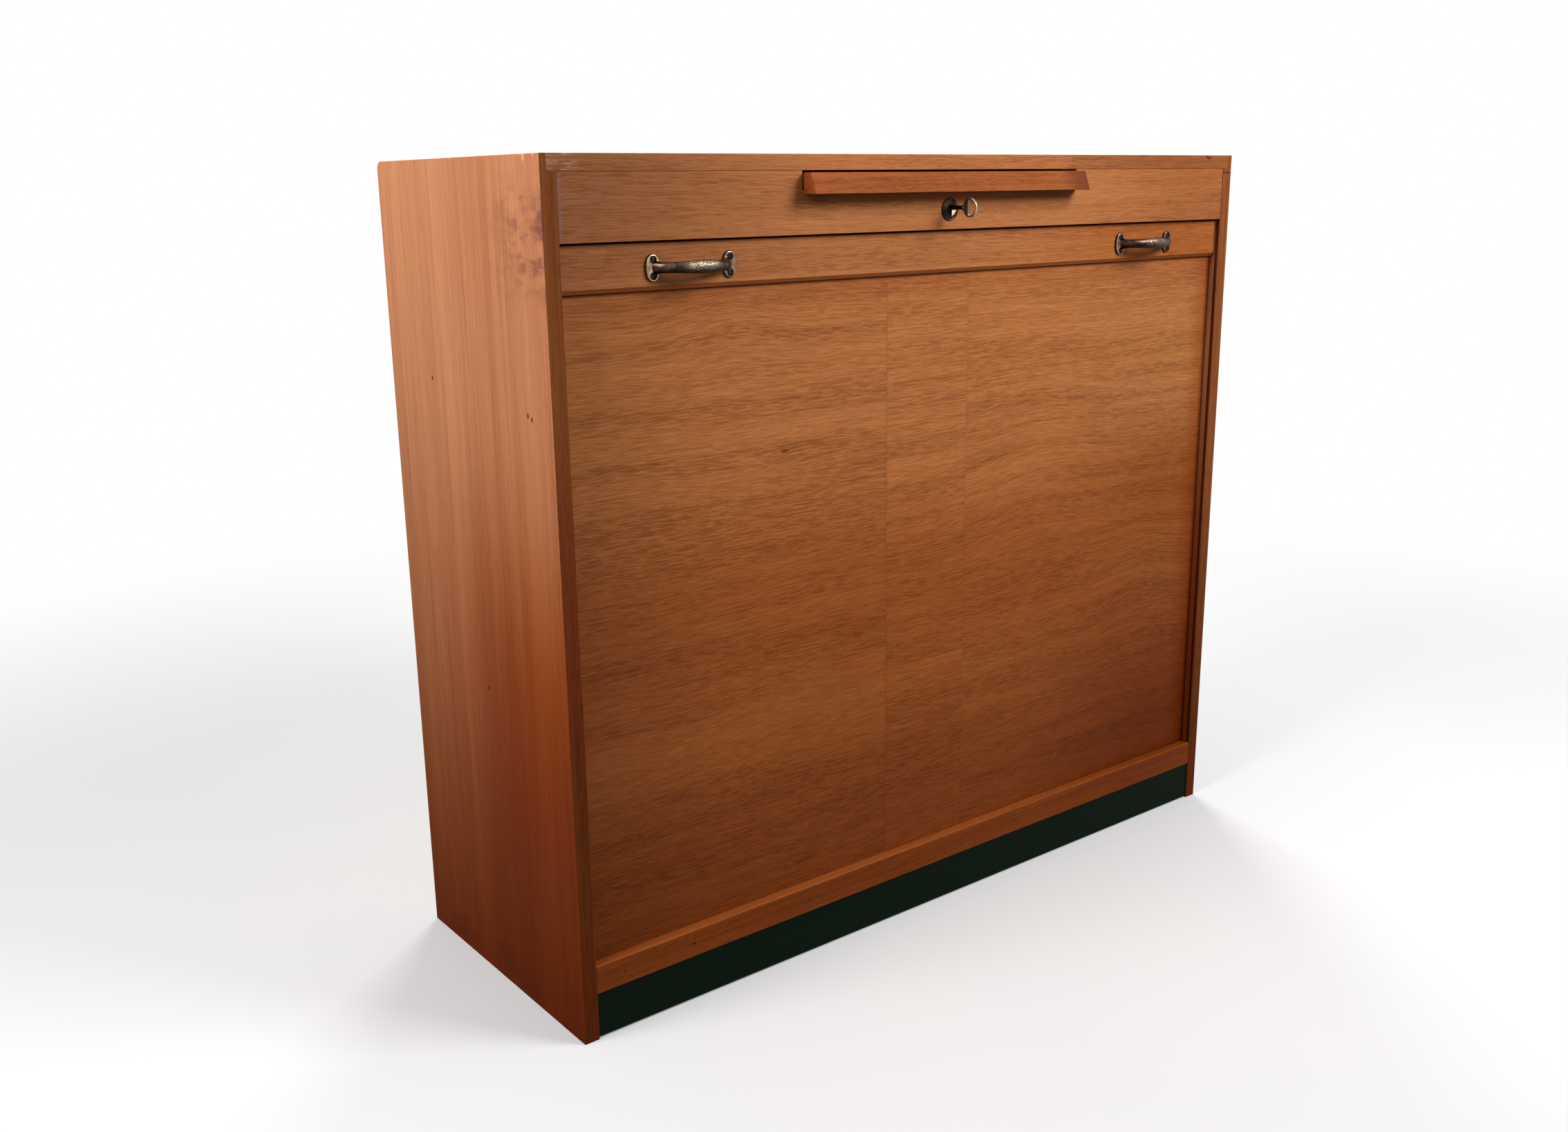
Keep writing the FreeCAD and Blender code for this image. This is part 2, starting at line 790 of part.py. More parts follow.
def runner(hand, sign):
    """Batten under the top with a groove that carries one edge of the slide."""
    near, far = "runner_inner", "runner_inner + runner_width"
    bottom = "slide_bottom - runner_ledge"
    groove = "runner_inner + runner_groove"
    low, high = "slide_bottom - runner_clearance", "slide_top + runner_clearance"
    corners = [(near, bottom), (far, bottom), (far, "top_under"), (near, "top_under"),
               (near, high), (groove, high), (groove, low), (near, low)]
    if sign < 0:
        corners = [(f"-({x})", z) for x, z in corners]
    board(f"{hand}_runner", "XZ", "fascia_back", "back_rail_front - fascia_back", corners)


slide()
slide_pull()
for hand, sign in SIDES:
    runner(hand, sign)


def runner_screws():
    """Screws up through the runners' solid backs into the top."""
    made = []
    x_out = "runner_inner + (runner_width + runner_groove) / 2"
    for hand, sign in SIDES:
        for i, share in enumerate(RUNNER_SCREW_SHARES):
            y = f"fascia_back + (back_rail_front - fascia_back) * {share}"
            made.append(screw(f"runner_screw_{hand}_{i}",
                              (f"{sign} * ({x_out})", y, "slide_bottom - runner_ledge"),
                              "wood", "runner_screw_length"))
    keep(group("runner_screws", made), "runner_screws")


runner_screws()


# Lock, escutcheon, key and bolt

def lock_case(screws):
    """Case let into the fascia, hollow for the bolt and for the key's bit."""
    shell = block("lock_shell", ("-lock_width / 2", "lock_front", "lock_bottom"),
                  ("lock_width", "lock_thickness", "lock_height"))
    channel = block("lock_channel", ("-bolt_channel", "lock_inside", "lock_bottom - overrun"),
                    ("2 * bolt_channel", "bolt_nose_thickness + 2 * bolt_clearance",
                     "lock_height - lock_wall + overrun"))
    room = rod("lock_bit_room", ("0", "lock_inside", "key_axis"),
               "key_bit_reach + key_swing_clearance",
               "key_bit_length + key_swing_clearance", ALONG_Y)
    hole = keyhole("lock_keyhole", "lock_front - overrun", "lock_wall + 2 * overrun")
    hollow = fuse("lock_hollow", [channel, room, hole] + screws)
    keep(cut("lock_case", shell, hollow), "lock_case")


def escutcheon():
    """Round plate with a bevelled rim, standing on the fascia below the key's axis."""
    middle = "key_axis - escutcheon_drop"
    flat = "escutcheon_thickness - escutcheon_bevel"
    rim = rod("escutcheon_rim", ("0", "front", middle), "escutcheon_radius", flat, AGAINST_Y)
    face = taper("escutcheon_face", ("0", f"front - ({flat})", middle), "escutcheon_radius",
                 "escutcheon_radius - escutcheon_bevel", "escutcheon_bevel", AGAINST_Y)
    hole = keyhole("escutcheon_keyhole", "front - escutcheon_thickness - overrun",
                   "escutcheon_thickness + 2 * overrun")
    keep(cut("escutcheon", fuse("escutcheon_plate", [rim, face]), hole), "escutcheon")


def key():
    """Key in its lock: D-shaped ring bow in an upright plane, round stem, bit pointing down."""
    bow_front = "front - key_projection"
    bow_root = "front - key_projection + key_bow_depth"
    ring_radius = "key_bow_height / 2"
    middle_y = f"{bow_front} + {ring_radius}"
    thick_start = "-key_bow_thickness / 2"
    disc = rod("key_bow_disc", (thick_start, middle_y, "key_axis"), ring_radius,
               "key_bow_thickness", ALONG_X)
    limit = block("key_bow_limit", (thick_start, bow_front, f"key_axis - {ring_radius}"),
                  ("key_bow_thickness", "key_bow_depth", "key_bow_height"))
    outline = doc.addObject("Part::Common", "key_bow_outline")
    outline.Base = disc
    outline.Tool = limit
    void = rod("key_bow_void", (f"{thick_start} - overrun", middle_y, "key_axis"),
               f"{ring_radius} - key_bow_wire", "key_bow_thickness + 2 * overrun", ALONG_X)
    void_limit = block("key_bow_void_limit",
                       (f"{thick_start} - overrun", bow_front, f"key_axis - {ring_radius}"),
                       ("key_bow_thickness + 2 * overrun", "key_bow_depth - key_bow_root",
                        "key_bow_height"))
    opening = doc.addObject("Part::Common", "key_bow_opening")
    opening.Base = void
    opening.Tool = void_limit
    ring = cut("key_bow", outline, opening)
    stem_start = f"{bow_root} - key_bow_root / 2"
    bit_end = "lock_inside + key_bit_length"
    stem = rod("key_stem", ("0", stem_start, "key_axis"), "key_stem_radius",
               f"{bit_end} - ({stem_start})", ALONG_Y)
    bit = block("key_bit", ("-key_bit_width / 2", "lock_inside + key_clearance",
                            "key_axis - key_bit_reach"),
                ("key_bit_width", "key_bit_length - key_clearance", "key_bit_reach"))
    keep(fuse("key", [ring, stem, bit]), "key")


def lock_bolt():
    """Bolt drawn up into the case: a thick nose with a thin plate behind the key's bit."""
    nose = block("bolt_nose", ("-bolt_width / 2", "lock_inside + bolt_clearance", "lock_bottom"),
                 ("bolt_width", "bolt_nose_thickness", "bolt_nose_height"))
    plate = block("bolt_plate", ("-bolt_width / 2", "plate_front + bolt_clearance",
                                 "lock_bottom"),
                  ("bolt_width", "bolt_plate_thickness", "bolt_height"))
    keep(fuse("lock_bolt", [nose, plate]), "lock_bolt")


def lock_screws():
    """Two screws through the case into the fascia's wall, heads flush with its rear face."""
    made = []
    for hand, sign in SIDES:
        start = (f"{sign} * (lock_width / 2 - screw_edge)", "lock_front + lock_thickness",
                 "lock_bottom + lock_height / 2")
        made.append(screw(f"lock_screw_{hand}", start, "small",
                          "lock_thickness + lock_front_wall / 2", AGAINST_Y))
    keep(group("lock_screws", made), "lock_screws")
    return made


lock_case(lock_screws())
escutcheon()
key()
lock_bolt()


# Lead rail with strike and handles

STRIKE_Y = "lock_inside + bolt_clearance + bolt_nose_thickness / 2"


def lead_rail():
    """Top slat of the curtain, with a bevelled foot, tongues for the grooves and a mortise."""
    body = new_body("lead_rail")
    half = "inner_half - rail_side_clearance"
    pad(body, "lead_rail_bar", "YZ", f"-({half})", f"2 * ({half})", [
        ("rail_front", "rail_bottom + rail_bevel"),
        ("rail_front + rail_bevel", "rail_bottom"),
        ("slat_back", "rail_bottom"),
        ("slat_back", "rail_top"),
        ("rail_front", "rail_top"),
    ])
    pad(body, "lead_rail_tongues", "YZ", "-slat_half", "2 * slat_half",
        rectangle("slat_front", "slat_back", "rail_bottom", "rail_top"))
    pocket(body, "lead_rail_strike_seat", "XY", "rail_top - strike_thickness",
           "strike_thickness + overrun",
           rectangle("-strike_width / 2", "strike_width / 2", f"{STRIKE_Y} - strike_depth / 2",
                     f"{STRIKE_Y} + strike_depth / 2"))
    half_hole = "bolt_width / 2 + strike_clearance"
    deep = "bolt_nose_thickness / 2 + strike_clearance"
    mortise = "bolt_travel - rail_gap + strike_clearance"
    pocket(body, "lead_rail_mortise", "XY", f"rail_top - ({mortise})", f"{mortise} + overrun",
           rectangle(f"-({half_hole})", half_hole, f"{STRIKE_Y} - ({deep})",
                     f"{STRIKE_Y} + ({deep})"))
    keep(body, "lead_rail")


def strike():
    """Plate let into the lead rail's top, with a hole for the bolt and two flush screws."""
    half_hole = "bolt_width / 2 + strike_clearance"
    deep = "bolt_nose_thickness / 2 + strike_clearance"
    low = "rail_top - strike_thickness"
    plate = block("strike_blank", ("-strike_width / 2", f"{STRIKE_Y} - strike_depth / 2", low),
                  ("strike_width", "strike_depth", "strike_thickness"))
    hole = block("strike_hole", (f"-({half_hole})", f"{STRIKE_Y} - ({deep})",
                                 f"{low} - overrun"),
                 (f"2 * ({half_hole})", f"2 * ({deep})", "strike_thickness + 2 * overrun"))
    made = []
    for hand, sign in SIDES:
        x = f"{sign} * (strike_width / 2 - screw_edge)"
        made.append(screw(f"strike_screw_{hand}", (x, STRIKE_Y, "rail_top"), "small",
                          "small_screw_length", DOWN))
    keep(group("strike_screws", made), "strike_screws")
    keep(cut("strike_plate", plate, fuse("strike_openings", [hole] + made)), "strike_plate")


lead_rail()
strike()

# Stations of a bow handle's grip: its heading in degrees, from straight out of one foot to
# straight back into the other, and how far the section has grown from the neck's to the grip's
GRIP_HEADINGS = (0, 15, 30, 45, 60, 70, 80, 90, 100, 110, 120, 135, 150, 165, 180)
GRIP_GROWTH_SHARES = (0.1, 0, 0, 0, 0.1, 0.5, 0.9, 1, 0.9, 0.5, 0.1, 0, 0, 0, 0.1)


def handle_grip():
    """Bow grip on half an oval from foot to foot, with a swelling in its middle."""
    half_span = value("handle_span / 2")
    reach = value("handle_projection - handle_grip_depth / 2")
    neck = (value("handle_neck_height"), value("handle_neck_depth"))
    grip = (value("handle_grip_height"), value("handle_grip_depth"))
    upward = Vector(0, 0, 1)
    sections = []
    for heading, growth in zip(GRIP_HEADINGS, GRIP_GROWTH_SHARES):
        turn = math.radians(heading)
        along = Vector(math.sin(turn), -math.cos(turn), 0)
        round_oval = math.atan2(reach * along.x, half_span * -along.y)
        centre = Vector(-half_span * math.cos(round_oval), -reach * math.sin(round_oval), 0)
        height, depth = (n + (g - n) * growth for n, g in zip(neck, grip))
        section = Part.Ellipse(centre + upward * (height / 2),
                               centre + upward.cross(along) * (depth / 2), centre)
        sections.append(Part.Wire([section.toShape()]))
    return Part.makeLoft(sections, True, True)


def handle_foot(x):
    """Tall round-ended plate with a bevelled front edge, standing off the plane y = 0."""
    width = value("handle_foot_width")
    height = value("handle_foot_height")
    thickness = value("handle_foot_thickness")
    rise = (height - width) / 2
    plate = Part.makeBox(width, thickness, 2 * rise, Vector(x - width / 2, -thickness, -rise))
    for z in (-rise, rise):
        end = Part.makeCylinder(width / 2, thickness, Vector(x, 0, z), Vector(0, -1, 0))
        plate = plate.fuse(end)
    plate = plate.removeSplitter()
    front = [edge for edge in plate.Edges if edge.BoundBox.YMax < -thickness / 2]
    return plate.makeChamfer(value("handle_foot_edge"), front)


def handles():
    """Two bow handles on the lead rail, each held by two screws through each foot."""
    half_span = value("handle_span / 2")
    bow = handle_foot(-half_span).fuse([handle_foot(half_span), handle_grip()])
    length, height = value("handle_length"), value("handle_foot_height")
    behind = Part.makeBox(2 * length, value("handle_projection"), 2 * height,
                          Vector(-length, 0, -height))
    bow = bow.cut(behind)
    screws = []
    for hand, sign in SIDES:
        middle = f"{sign} * (handle_foot_x - handle_span / 2)"
        blank = doc.addObject("Part::Feature", f"{hand}_handle_blank")
        blank.Shape = bow
        place(blank, middle, "rail_front", "handle_z")
        made = []
        for end in (-1, 1):
            for rise in (-1, 1):
                start = (f"{middle} + {end} * handle_span / 2",
                         "rail_front - handle_foot_thickness",
                         f"handle_z + {rise} * handle_screw_spacing / 2")
                made.append(screw(f"{hand}_handle_screw_{len(made)}", start, "handle",
                                  "handle_screw_length", ALONG_Y))
        holes = group(f"{hand}_handle_holes", made)
        keep(cut(f"{hand}_handle", blank, holes), f"{hand}_handle")
        screws += made
    keep(group("handle_screws", screws), "handle_screws")


handles()


# Curtain: slats on canvas, the tail already round the front bend

# Gives the slats' placement its axis; each slat binds the angle to its own place on the path
QUARTER_ABOUT_X = Rotation(Vector(1, 0, 0), 90)


def slat(i):
    """One slat, square to the curtain's path. Its back keeps its length round the bend."""
    item = doc.addObject("Part::Box", f"slat_{i}")
    item.Placement = FreeCAD.Placement(Vector(), QUARTER_ABOUT_X)
    middle = f"slat_pitch * {2 * i + 1} / 2"
    turn = f"max(0; {middle} - rail_bottom + sill_top) / canvas_radius"
    sine, cosine = (f"{wave}({turn} * 1rad)" for wave in ("sin", "cos"))
    half_thick, half_high = "slat_thickness / 2", "(slat_pitch - slat_gap) / 2"
    centre_y = f"bend_front - bend_radius * {cosine}"
    centre_z = f"max(sill_top; rail_bottom - {middle}) - bend_radius * {sine}"
    return bind(item, Length="2 * slat_half", Width="slat_thickness",
                Height="slat_pitch - slat_gap", Placement__Base__x="-slat_half",
                Placement__Base__y=f"{centre_y} - {half_thick} * {cosine} + {half_high} * {sine}",
                Placement__Base__z=f"{centre_z} - {half_thick} * {sine} - {half_high} * {cosine}",
                Placement__Rotation__Angle=f"{turn} * 180 / pi")


def tambour_canvas():
    """Cloth glued to the backs of the slats and lapped up the lead rail."""
    half = "inner_half - canvas_inset"
    flat = block("canvas_flat", (f"-({half})", "slat_back", "sill_top"),
                 (f"2 * ({half})", "canvas_thickness", "rail_bottom - sill_top + canvas_lap"))
    sectors = []
    for layer, radius in (("outer", "canvas_radius"),
                          ("inner", "canvas_radius - canvas_thickness")):
        sector = rod(f"canvas_{layer}", (f"-({half})", "bend_front", "sill_top"), radius,
                     f"2 * ({half})",
                     Rotation(Vector(0, -1, 0), Vector(0, 0, -1), Vector(1, 0, 0), "XYZ"))
        bind(sector, Angle="(curtain_tail - canvas_foot) / canvas_radius * 180 / pi")
        sectors.append(sector)
    bend = cut("canvas_bend", *sectors)
    keep(fuse("tambour_canvas", [flat, bend]), "tambour_canvas")


slat_count = math.floor(value("(rail_bottom - sill_top + curtain_tail) / slat_pitch"))
keep(group("tambour_slats", [slat(i) for i in range(slat_count)]), "tambour_slats")
tambour_canvas()


# Checks and export

doc.recompute()
for item in doc.Objects:
    if "Invalid" in item.State or "Error" in item.State:
        raise RuntimeError(f"{item.Label} failed: {item.State}")
os.makedirs("parts", exist_ok=True)
for item in parts:
    shape = item.Shape
    if shape.isNull() or not shape.isValid():
        raise RuntimeError(f"{item.Label} has no valid shape")
    shape.exportStep(f"parts/{item.Label}.step")
    print(item.Label, len(shape.Solids), round(shape.Volume))
for joint_range in ("travel", "slide_travel", "bolt_travel"):
    print(joint_range, round(value(joint_range), 1))
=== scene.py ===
import math

import bmesh
import bpy
from mathutils import Matrix, Vector


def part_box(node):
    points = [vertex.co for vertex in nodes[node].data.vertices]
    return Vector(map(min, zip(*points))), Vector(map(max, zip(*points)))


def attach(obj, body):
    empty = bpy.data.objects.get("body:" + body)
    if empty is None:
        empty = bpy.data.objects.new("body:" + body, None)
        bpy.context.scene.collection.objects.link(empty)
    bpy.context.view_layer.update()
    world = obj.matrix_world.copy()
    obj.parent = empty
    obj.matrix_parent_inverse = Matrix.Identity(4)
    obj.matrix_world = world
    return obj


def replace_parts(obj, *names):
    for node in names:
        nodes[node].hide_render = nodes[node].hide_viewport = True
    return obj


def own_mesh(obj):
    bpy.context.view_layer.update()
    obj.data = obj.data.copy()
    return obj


# Looks of the tambour cabinet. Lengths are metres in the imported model's own frame: +X is the
# width, the front faces -Y and +Z is up.

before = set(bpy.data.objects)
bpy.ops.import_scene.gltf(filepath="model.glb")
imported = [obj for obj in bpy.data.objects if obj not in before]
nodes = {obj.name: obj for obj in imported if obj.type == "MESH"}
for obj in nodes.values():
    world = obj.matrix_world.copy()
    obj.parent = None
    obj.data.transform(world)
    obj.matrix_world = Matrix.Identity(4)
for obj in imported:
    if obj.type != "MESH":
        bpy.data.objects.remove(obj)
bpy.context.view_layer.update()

MM = 0.001
WHITE = (1.0, 1.0, 1.0, 1.0)

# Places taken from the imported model

RAIL_LOW, RAIL_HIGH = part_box("lead_rail")
SLATS_LOW, SLATS_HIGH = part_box("tambour_slats")
CANVAS_LOW, CANVAS_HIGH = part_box("tambour_canvas")
SIDE_LOW, SIDE_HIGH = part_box("left_side")
SILL_LOW, SILL_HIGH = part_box("sill_rail")
FASCIA_LOW, FASCIA_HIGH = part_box("fascia_rail")
TOP_LIP_LOW, TOP_LIP_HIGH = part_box("top_lipping")
PULL_LOW, PULL_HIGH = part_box("slide_pull")
HANDLE_LOW, HANDLE_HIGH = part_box("left_handle")
PLATE_LOW, PLATE_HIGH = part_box("escutcheon")
KEY_LOW, KEY_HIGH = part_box("key")

FRONT = FASCIA_LOW.y
LIP_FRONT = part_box("left_lipping")[0].y
# The height of the line that the key turns about
KEY_AXIS = (KEY_LOW.z + KEY_HIGH.z) / 2


# Materials

def paint(red, green, blue):
    """A colour given in the usual 0 to 255 steps, as the linear values that shaders take."""
    steps = (red / 255, green / 255, blue / 255)
    linear = [s / 12.92 if s <= 0.04045 else ((s + 0.055) / 1.055) ** 2.4 for s in steps]
    return (*linear, 1.0)


class Nodes:
    """A node tree, with short calls for the nodes that this scene uses."""

    def __init__(self, owner):
        owner.use_nodes = True
        self.tree = owner.node_tree
        self.tree.nodes.clear()

    def node(self, kind, **settings):
        made = self.tree.nodes.new(kind)
        for name, setting in settings.items():
            setattr(made, name, setting)
        return made

    def feed(self, socket, source):
        """Links a socket to another node's output, or sets its value."""
        if isinstance(source, bpy.types.NodeSocket):
            self.tree.links.new(source, socket)
        else:
            socket.default_value = source

    def result(self, kind, *terms, output=0, **settings):
        """An output of a new node whose first inputs take terms, which are values or outputs."""
        made = self.node(kind, **settings)
        for socket, source in zip(made.inputs, terms):
            self.feed(socket, source)
        return made.outputs[output]

    def sums(self, operation, *terms):
        return self.result("ShaderNodeMath", *terms, operation=operation)

    def times(self, *terms):
        """The product of several numbers or outputs."""
        product = terms[0]
        for term in terms[1:]:
            product = self.sums("MULTIPLY", product, term)
        return product

    def shown_rays(self):
        """1 for rays that show the background, straight or in a reflection, and 0 for light."""
        rays = self.node("ShaderNodeLightPath").outputs
        share = self.sums("MAXIMUM", rays["Is Camera Ray"], rays["Is Glossy Ray"])
        return self.sums("MAXIMUM", share, rays["Is Transmission Ray"])

    def picked(self, share, first, second):
        """A shader between two others."""
        return self.result("ShaderNodeMixShader", share, first, second)


class Material(Nodes):
    """A material whose nodes read the object's own coordinates, x, y and z."""

    def __init__(self, name):
        self.data = bpy.data.materials.new(name)
        super().__init__(self.data)
        self.shader = self.node("ShaderNodeBsdfPrincipled")
        self.surface = self.node("ShaderNodeOutputMaterial").inputs["Surface"]
        self.feed(self.surface, self.shader.outputs["BSDF"])
        self.place = self.node("ShaderNodeTexCoord").outputs["Object"]
        self.x, self.y, self.z = self.axes(self.place)

    def axes(self, source):
        made = self.node("ShaderNodeSeparateXYZ")
        self.feed(made.inputs[0], source)
        return made.outputs

    def joined(self, x=0.0, y=0.0, z=0.0):
        return self.result("ShaderNodeCombineXYZ", x, y, z)

    def scaled(self, factors, source=None):
        """Coordinates times a factor along each axis."""
        return self.result("ShaderNodeVectorMath", source or self.place, factors,
                           operation="MULTIPLY")

    def moved(self, offset, source=None):
        """Coordinates plus an offset."""
        return self.result("ShaderNodeVectorMath", source or self.place, offset, operation="ADD")

    def length(self, source):
        return self.result("ShaderNodeVectorMath", source, operation="LENGTH", output="Value")

    def flipped(self, share):
        return self.sums("SUBTRACT", 1.0, share)

    def apart(self, value, other):
        """How far one number is from another."""
        return self.sums("ABSOLUTE", self.sums("SUBTRACT", value, other))

    def ramp(self, value, slope, start):
        """A value times a slope, plus where it starts."""
        return self.sums("MULTIPLY_ADD", value, slope, start)

    def noise(self, cells, detail=2.0, roughness=0.5, distortion=0.0, source=None, output="Fac"):
        """Noise between 0 and 1. Its cells to a metre are one number, or one to an axis."""
        cells = cells if isinstance(cells, tuple) else (cells,) * 3
        made = self.node("ShaderNodeTexNoise")
        for name, value in (("Vector", self.scaled(cells, source)), ("Scale", 1.0), ("Detail", detail),
                            ("Roughness", roughness), ("Distortion", distortion)):
            self.feed(made.inputs[name], value)
        return made.outputs[output]

    def between(self, value, low, high):
        """Rises smoothly from 0 to 1 as a value goes from low to high."""
        return self.result("ShaderNodeMapRange", value, low, high, interpolation_type="SMOOTHSTEP")

    def within(self, value, *limits):
        """The share of a zone that a value, or the axis of that name, is in. Two limits are
        where the zone starts and where it is full, in either order of size. Three are its
        middle, and how far from there it is full and ends."""
        if isinstance(value, str):
            value = getattr(self, value)
        if len(limits) == 3:
            middle, full, end = limits
            return self.flipped(self.between(self.apart(value, middle), full, end))
        start, full = limits
        if start < full:
            return self.between(value, start, full)
        return self.flipped(self.between(value, full, start))

    def mixed(self, share, first, second, blend="MIX"):
        """Colour between two, or blended from them."""
        made = self.node("ShaderNodeMix", data_type="RGBA", blend_type=blend)
        self.feed(made.inputs["Factor"], share)
        first_socket, second_socket = [s for s in made.inputs if s.type == "RGBA"]
        self.feed(first_socket, first)
        self.feed(second_socket, second)
        return next(s for s in made.outputs if s.type == "RGBA")

    def zoned(self, colour, *zones, blend="MIX"):
        """Lays colours over another. Each zone is its colour, its strength and its limits."""
        for over, strength, *limits in zones:
            share = self.times(strength, *(self.within(*limit) for limit in limits))
            colour = self.mixed(share, colour, over, blend)
        return colour

    def tinted(self, colour, *zones):
        """Multiplies a colour in zones, each given as its factors, strength and limits."""
        whole = [((*factors, 1.0), *rest) for factors, *rest in zones]
        return self.zoned(colour, *whole, blend="MULTIPLY")

    def bumped(self, height, distance):
        made = self.node("ShaderNodeBump")
        made.inputs["Strength"].default_value = 1.0
        made.inputs["Distance"].default_value = distance
        self.feed(made.inputs["Height"], height)
        self.feed(self.shader.inputs["Normal"], made.outputs["Normal"])

    def finish(self, **values):
        """Sets the shader's inputs. Underscores stand for the spaces in their names."""
        for name, source in values.items():
            self.feed(self.shader.inputs[name.replace("_", " ")], source)
        return self.data


def edge_distance(m, low, high):
    """How far a point on a board's surface is from the nearest edge of the board's box."""
    first, second, third = [
        m.sums("MINIMUM", m.apart(place, least), m.apart(place, most))
        for place, least, most in zip((m.x, m.y, m.z), low, high)]
    smaller = m.sums("MINIMUM", first, second)
    larger = m.sums("MAXIMUM", first, second)
    return m.sums("MAXIMUM", smaller, m.sums("MINIMUM", larger, third))


# How wood usually looks, as the number of its markings to a metre along and across the grain.
# Fibre is the fine streaks, dashes are the short dark pores, figure is the bands and patch the
# cloudy tone under them. The shares say how strongly each shows, and waver is how far, in
# millimetres, the grain wanders.
USUAL_LOOK = {
    "fibre": (6, 480), "fibre_share": 0.5, "figure": (1.2, 80), "patch_share": 0.2,
    "contrast": 1.0, "dashes": (40, 1000), "dash_level": 0.56, "dash_share": 0.4, "waver": 14,
}


def wood(light, dark, pore, **look):
    """A kind of wood: its three colours, and what differs from the usual look."""
    return {**USUAL_LOOK, **look, "light": paint(*light), "dark": paint(*dark), "pore": paint(*pore)}


SIDE_WOOD = wood((208, 142, 102), (172, 106, 70), (122, 66, 40), fibre=(4, 420), figure=(0.9, 26),
                 patch_share=0.3, contrast=0.85, dashes=(30, 900), dash_level=0.6, waver=7)
OAK = wood((201, 131, 80), (163, 98, 54), (106, 53, 26), fibre=(9, 600), fibre_share=0.65,
           figure=(1.4, 44), patch_share=0.1, contrast=0.55, dashes=(40, 700),
           dash_level=0.48, dash_share=0.36)
TAMBOUR_OAK = wood((198, 120, 64), (164, 92, 44), (108, 50, 20), fibre=(10, 620),
                   fibre_share=0.68, figure=(1.2, 40), patch_share=0.08, contrast=0.7,
                   dashes=(42, 740), dash_level=0.46, dash_share=0.45, waver=20)
EDGE_WOOD = wood((138, 79, 42), (106, 57, 27), (62, 30, 15), fibre_share=0.6, contrast=0.7,
                 dash_share=0.5, waver=8)
RIGHT_EDGE_WOOD = wood((158, 94, 52), (120, 66, 34), (76, 38, 18), fibre_share=0.6,
                       dash_share=0.45, waver=8)
SILL_WOOD = wood((188, 106, 52), (150, 80, 36), (98, 46, 18), fibre=(7, 420),
                 figure=(1.4, 50), contrast=0.9, dashes=(60, 800))
PULL_WOOD = wood((162, 88, 42), (122, 62, 26), (80, 38, 16), fibre=(8, 420),
                 figure=(2.4, 70), dashes=(70, 700), dash_level=0.54, dash_share=0.5, waver=16)
PALE_WOOD = wood((218, 184, 136), (184, 142, 92), (146, 104, 62), fibre=(5, 300),
                 fibre_share=0.4, figure=(1.2, 70), patch_share=0.3, contrast=1.2,
                 dashes=(40, 900), dash_level=0.62, dash_share=0.25)
PLYWOOD = wood((212, 170, 116), (180, 132, 80), (140, 96, 56), fibre=(6, 320),
               fibre_share=0.4, figure=(2.0, 22), patch_share=0.3, contrast=1.3,
               dashes=(50, 800), dash_level=0.6, dash_share=0.3, waver=50)

WORN_WOOD = paint(236, 176, 116)
EDGE_WEAR_AND_HIGHLIGHT_GAIN = (1.7, 1.75, 1.8, 1.0)
SMUDGE = paint(112, 62, 58)
# Dark brown of knots, joints and nail heads, also used for a painted shadow under the lead rail
DARK_MARK_AND_SHADOW = paint(58, 26, 14)
# What the painted shade towards the floor multiplies a colour by, at the floor itself
SIDE_LOW_SHADES = ((0.55, 0.31, 0.1, 1.0), (0.5, 0.3, 0.1, 1.0))
FRONT_LOW_SHADES = ((0.46, 0.34, 0.24, 1.0),)
# Heights between which that painted shade fades out
LOW_SHADE_FROM, LOW_SHADE_TO = -0.1, 0.85

# Cells to a metre, along and across the grain, of its slow bends and its cloudy patches
BEND_CELLS = (3.0, 6.0)
PATCH_CELLS = (1.6, 4.5)
PORE_BLUR = 0.12
TONE_REACH = 0.16


def grain(m, look, axis, seed, shift=None):
    """Colour and relief of wood whose grain runs along an axis of the object."""
    def marks(source, cells, **settings):
        """Noise, with its cells counted along and across the grain."""
        along, across = cells
        counts = tuple(along if name == axis else across for name in "XYZ")
        return m.noise(counts, source=source, **settings)

    start = m.moved(Vector((3.7, 5.3, 7.9)) * seed)
    if shift is not None:
        start = m.moved(shift, start)
    bend = marks(start, BEND_CELLS, output="Color")
    bent = m.moved(m.scaled((look["waver"] * MM,) * 3, bend), start)

    fibre = marks(bent, look["fibre"], detail=3.0, roughness=0.6)
    figure = marks(bent, look["figure"], detail=3.0, roughness=0.55, distortion=0.5)
    patch = marks(start, PATCH_CELLS, detail=1.0)
    dashes = marks(bent, look["dashes"])
    level = look["dash_level"]
    pores = m.times(m.between(dashes, level, level + PORE_BLUR),
                    m.ramp(m.between(figure, 0.38, 0.64), 0.45, 0.55))

    share, broad = look["fibre_share"], look["patch_share"]
    tone = m.ramp(fibre, share, m.times(figure, 1 - share))
    tone = m.ramp(patch, broad, m.times(tone, 1 - broad))
    half = TONE_REACH / look["contrast"]
    colour = m.mixed(m.between(tone, 0.5 - half, 0.5 + half), look["light"], look["dark"])
    colour = m.mixed(m.times(pores, look["dash_share"]), colour, look["pore"])
    return colour, m.sums("SUBTRACT", m.times(fibre, 0.4), pores)


# Width of the light line along arrises, which is wear and a painted highlight, and how far a chip
# reaches
EDGE_WEAR_AND_HIGHLIGHT_REACH = 1.3 * MM
CHIP_REACH = 6 * MM


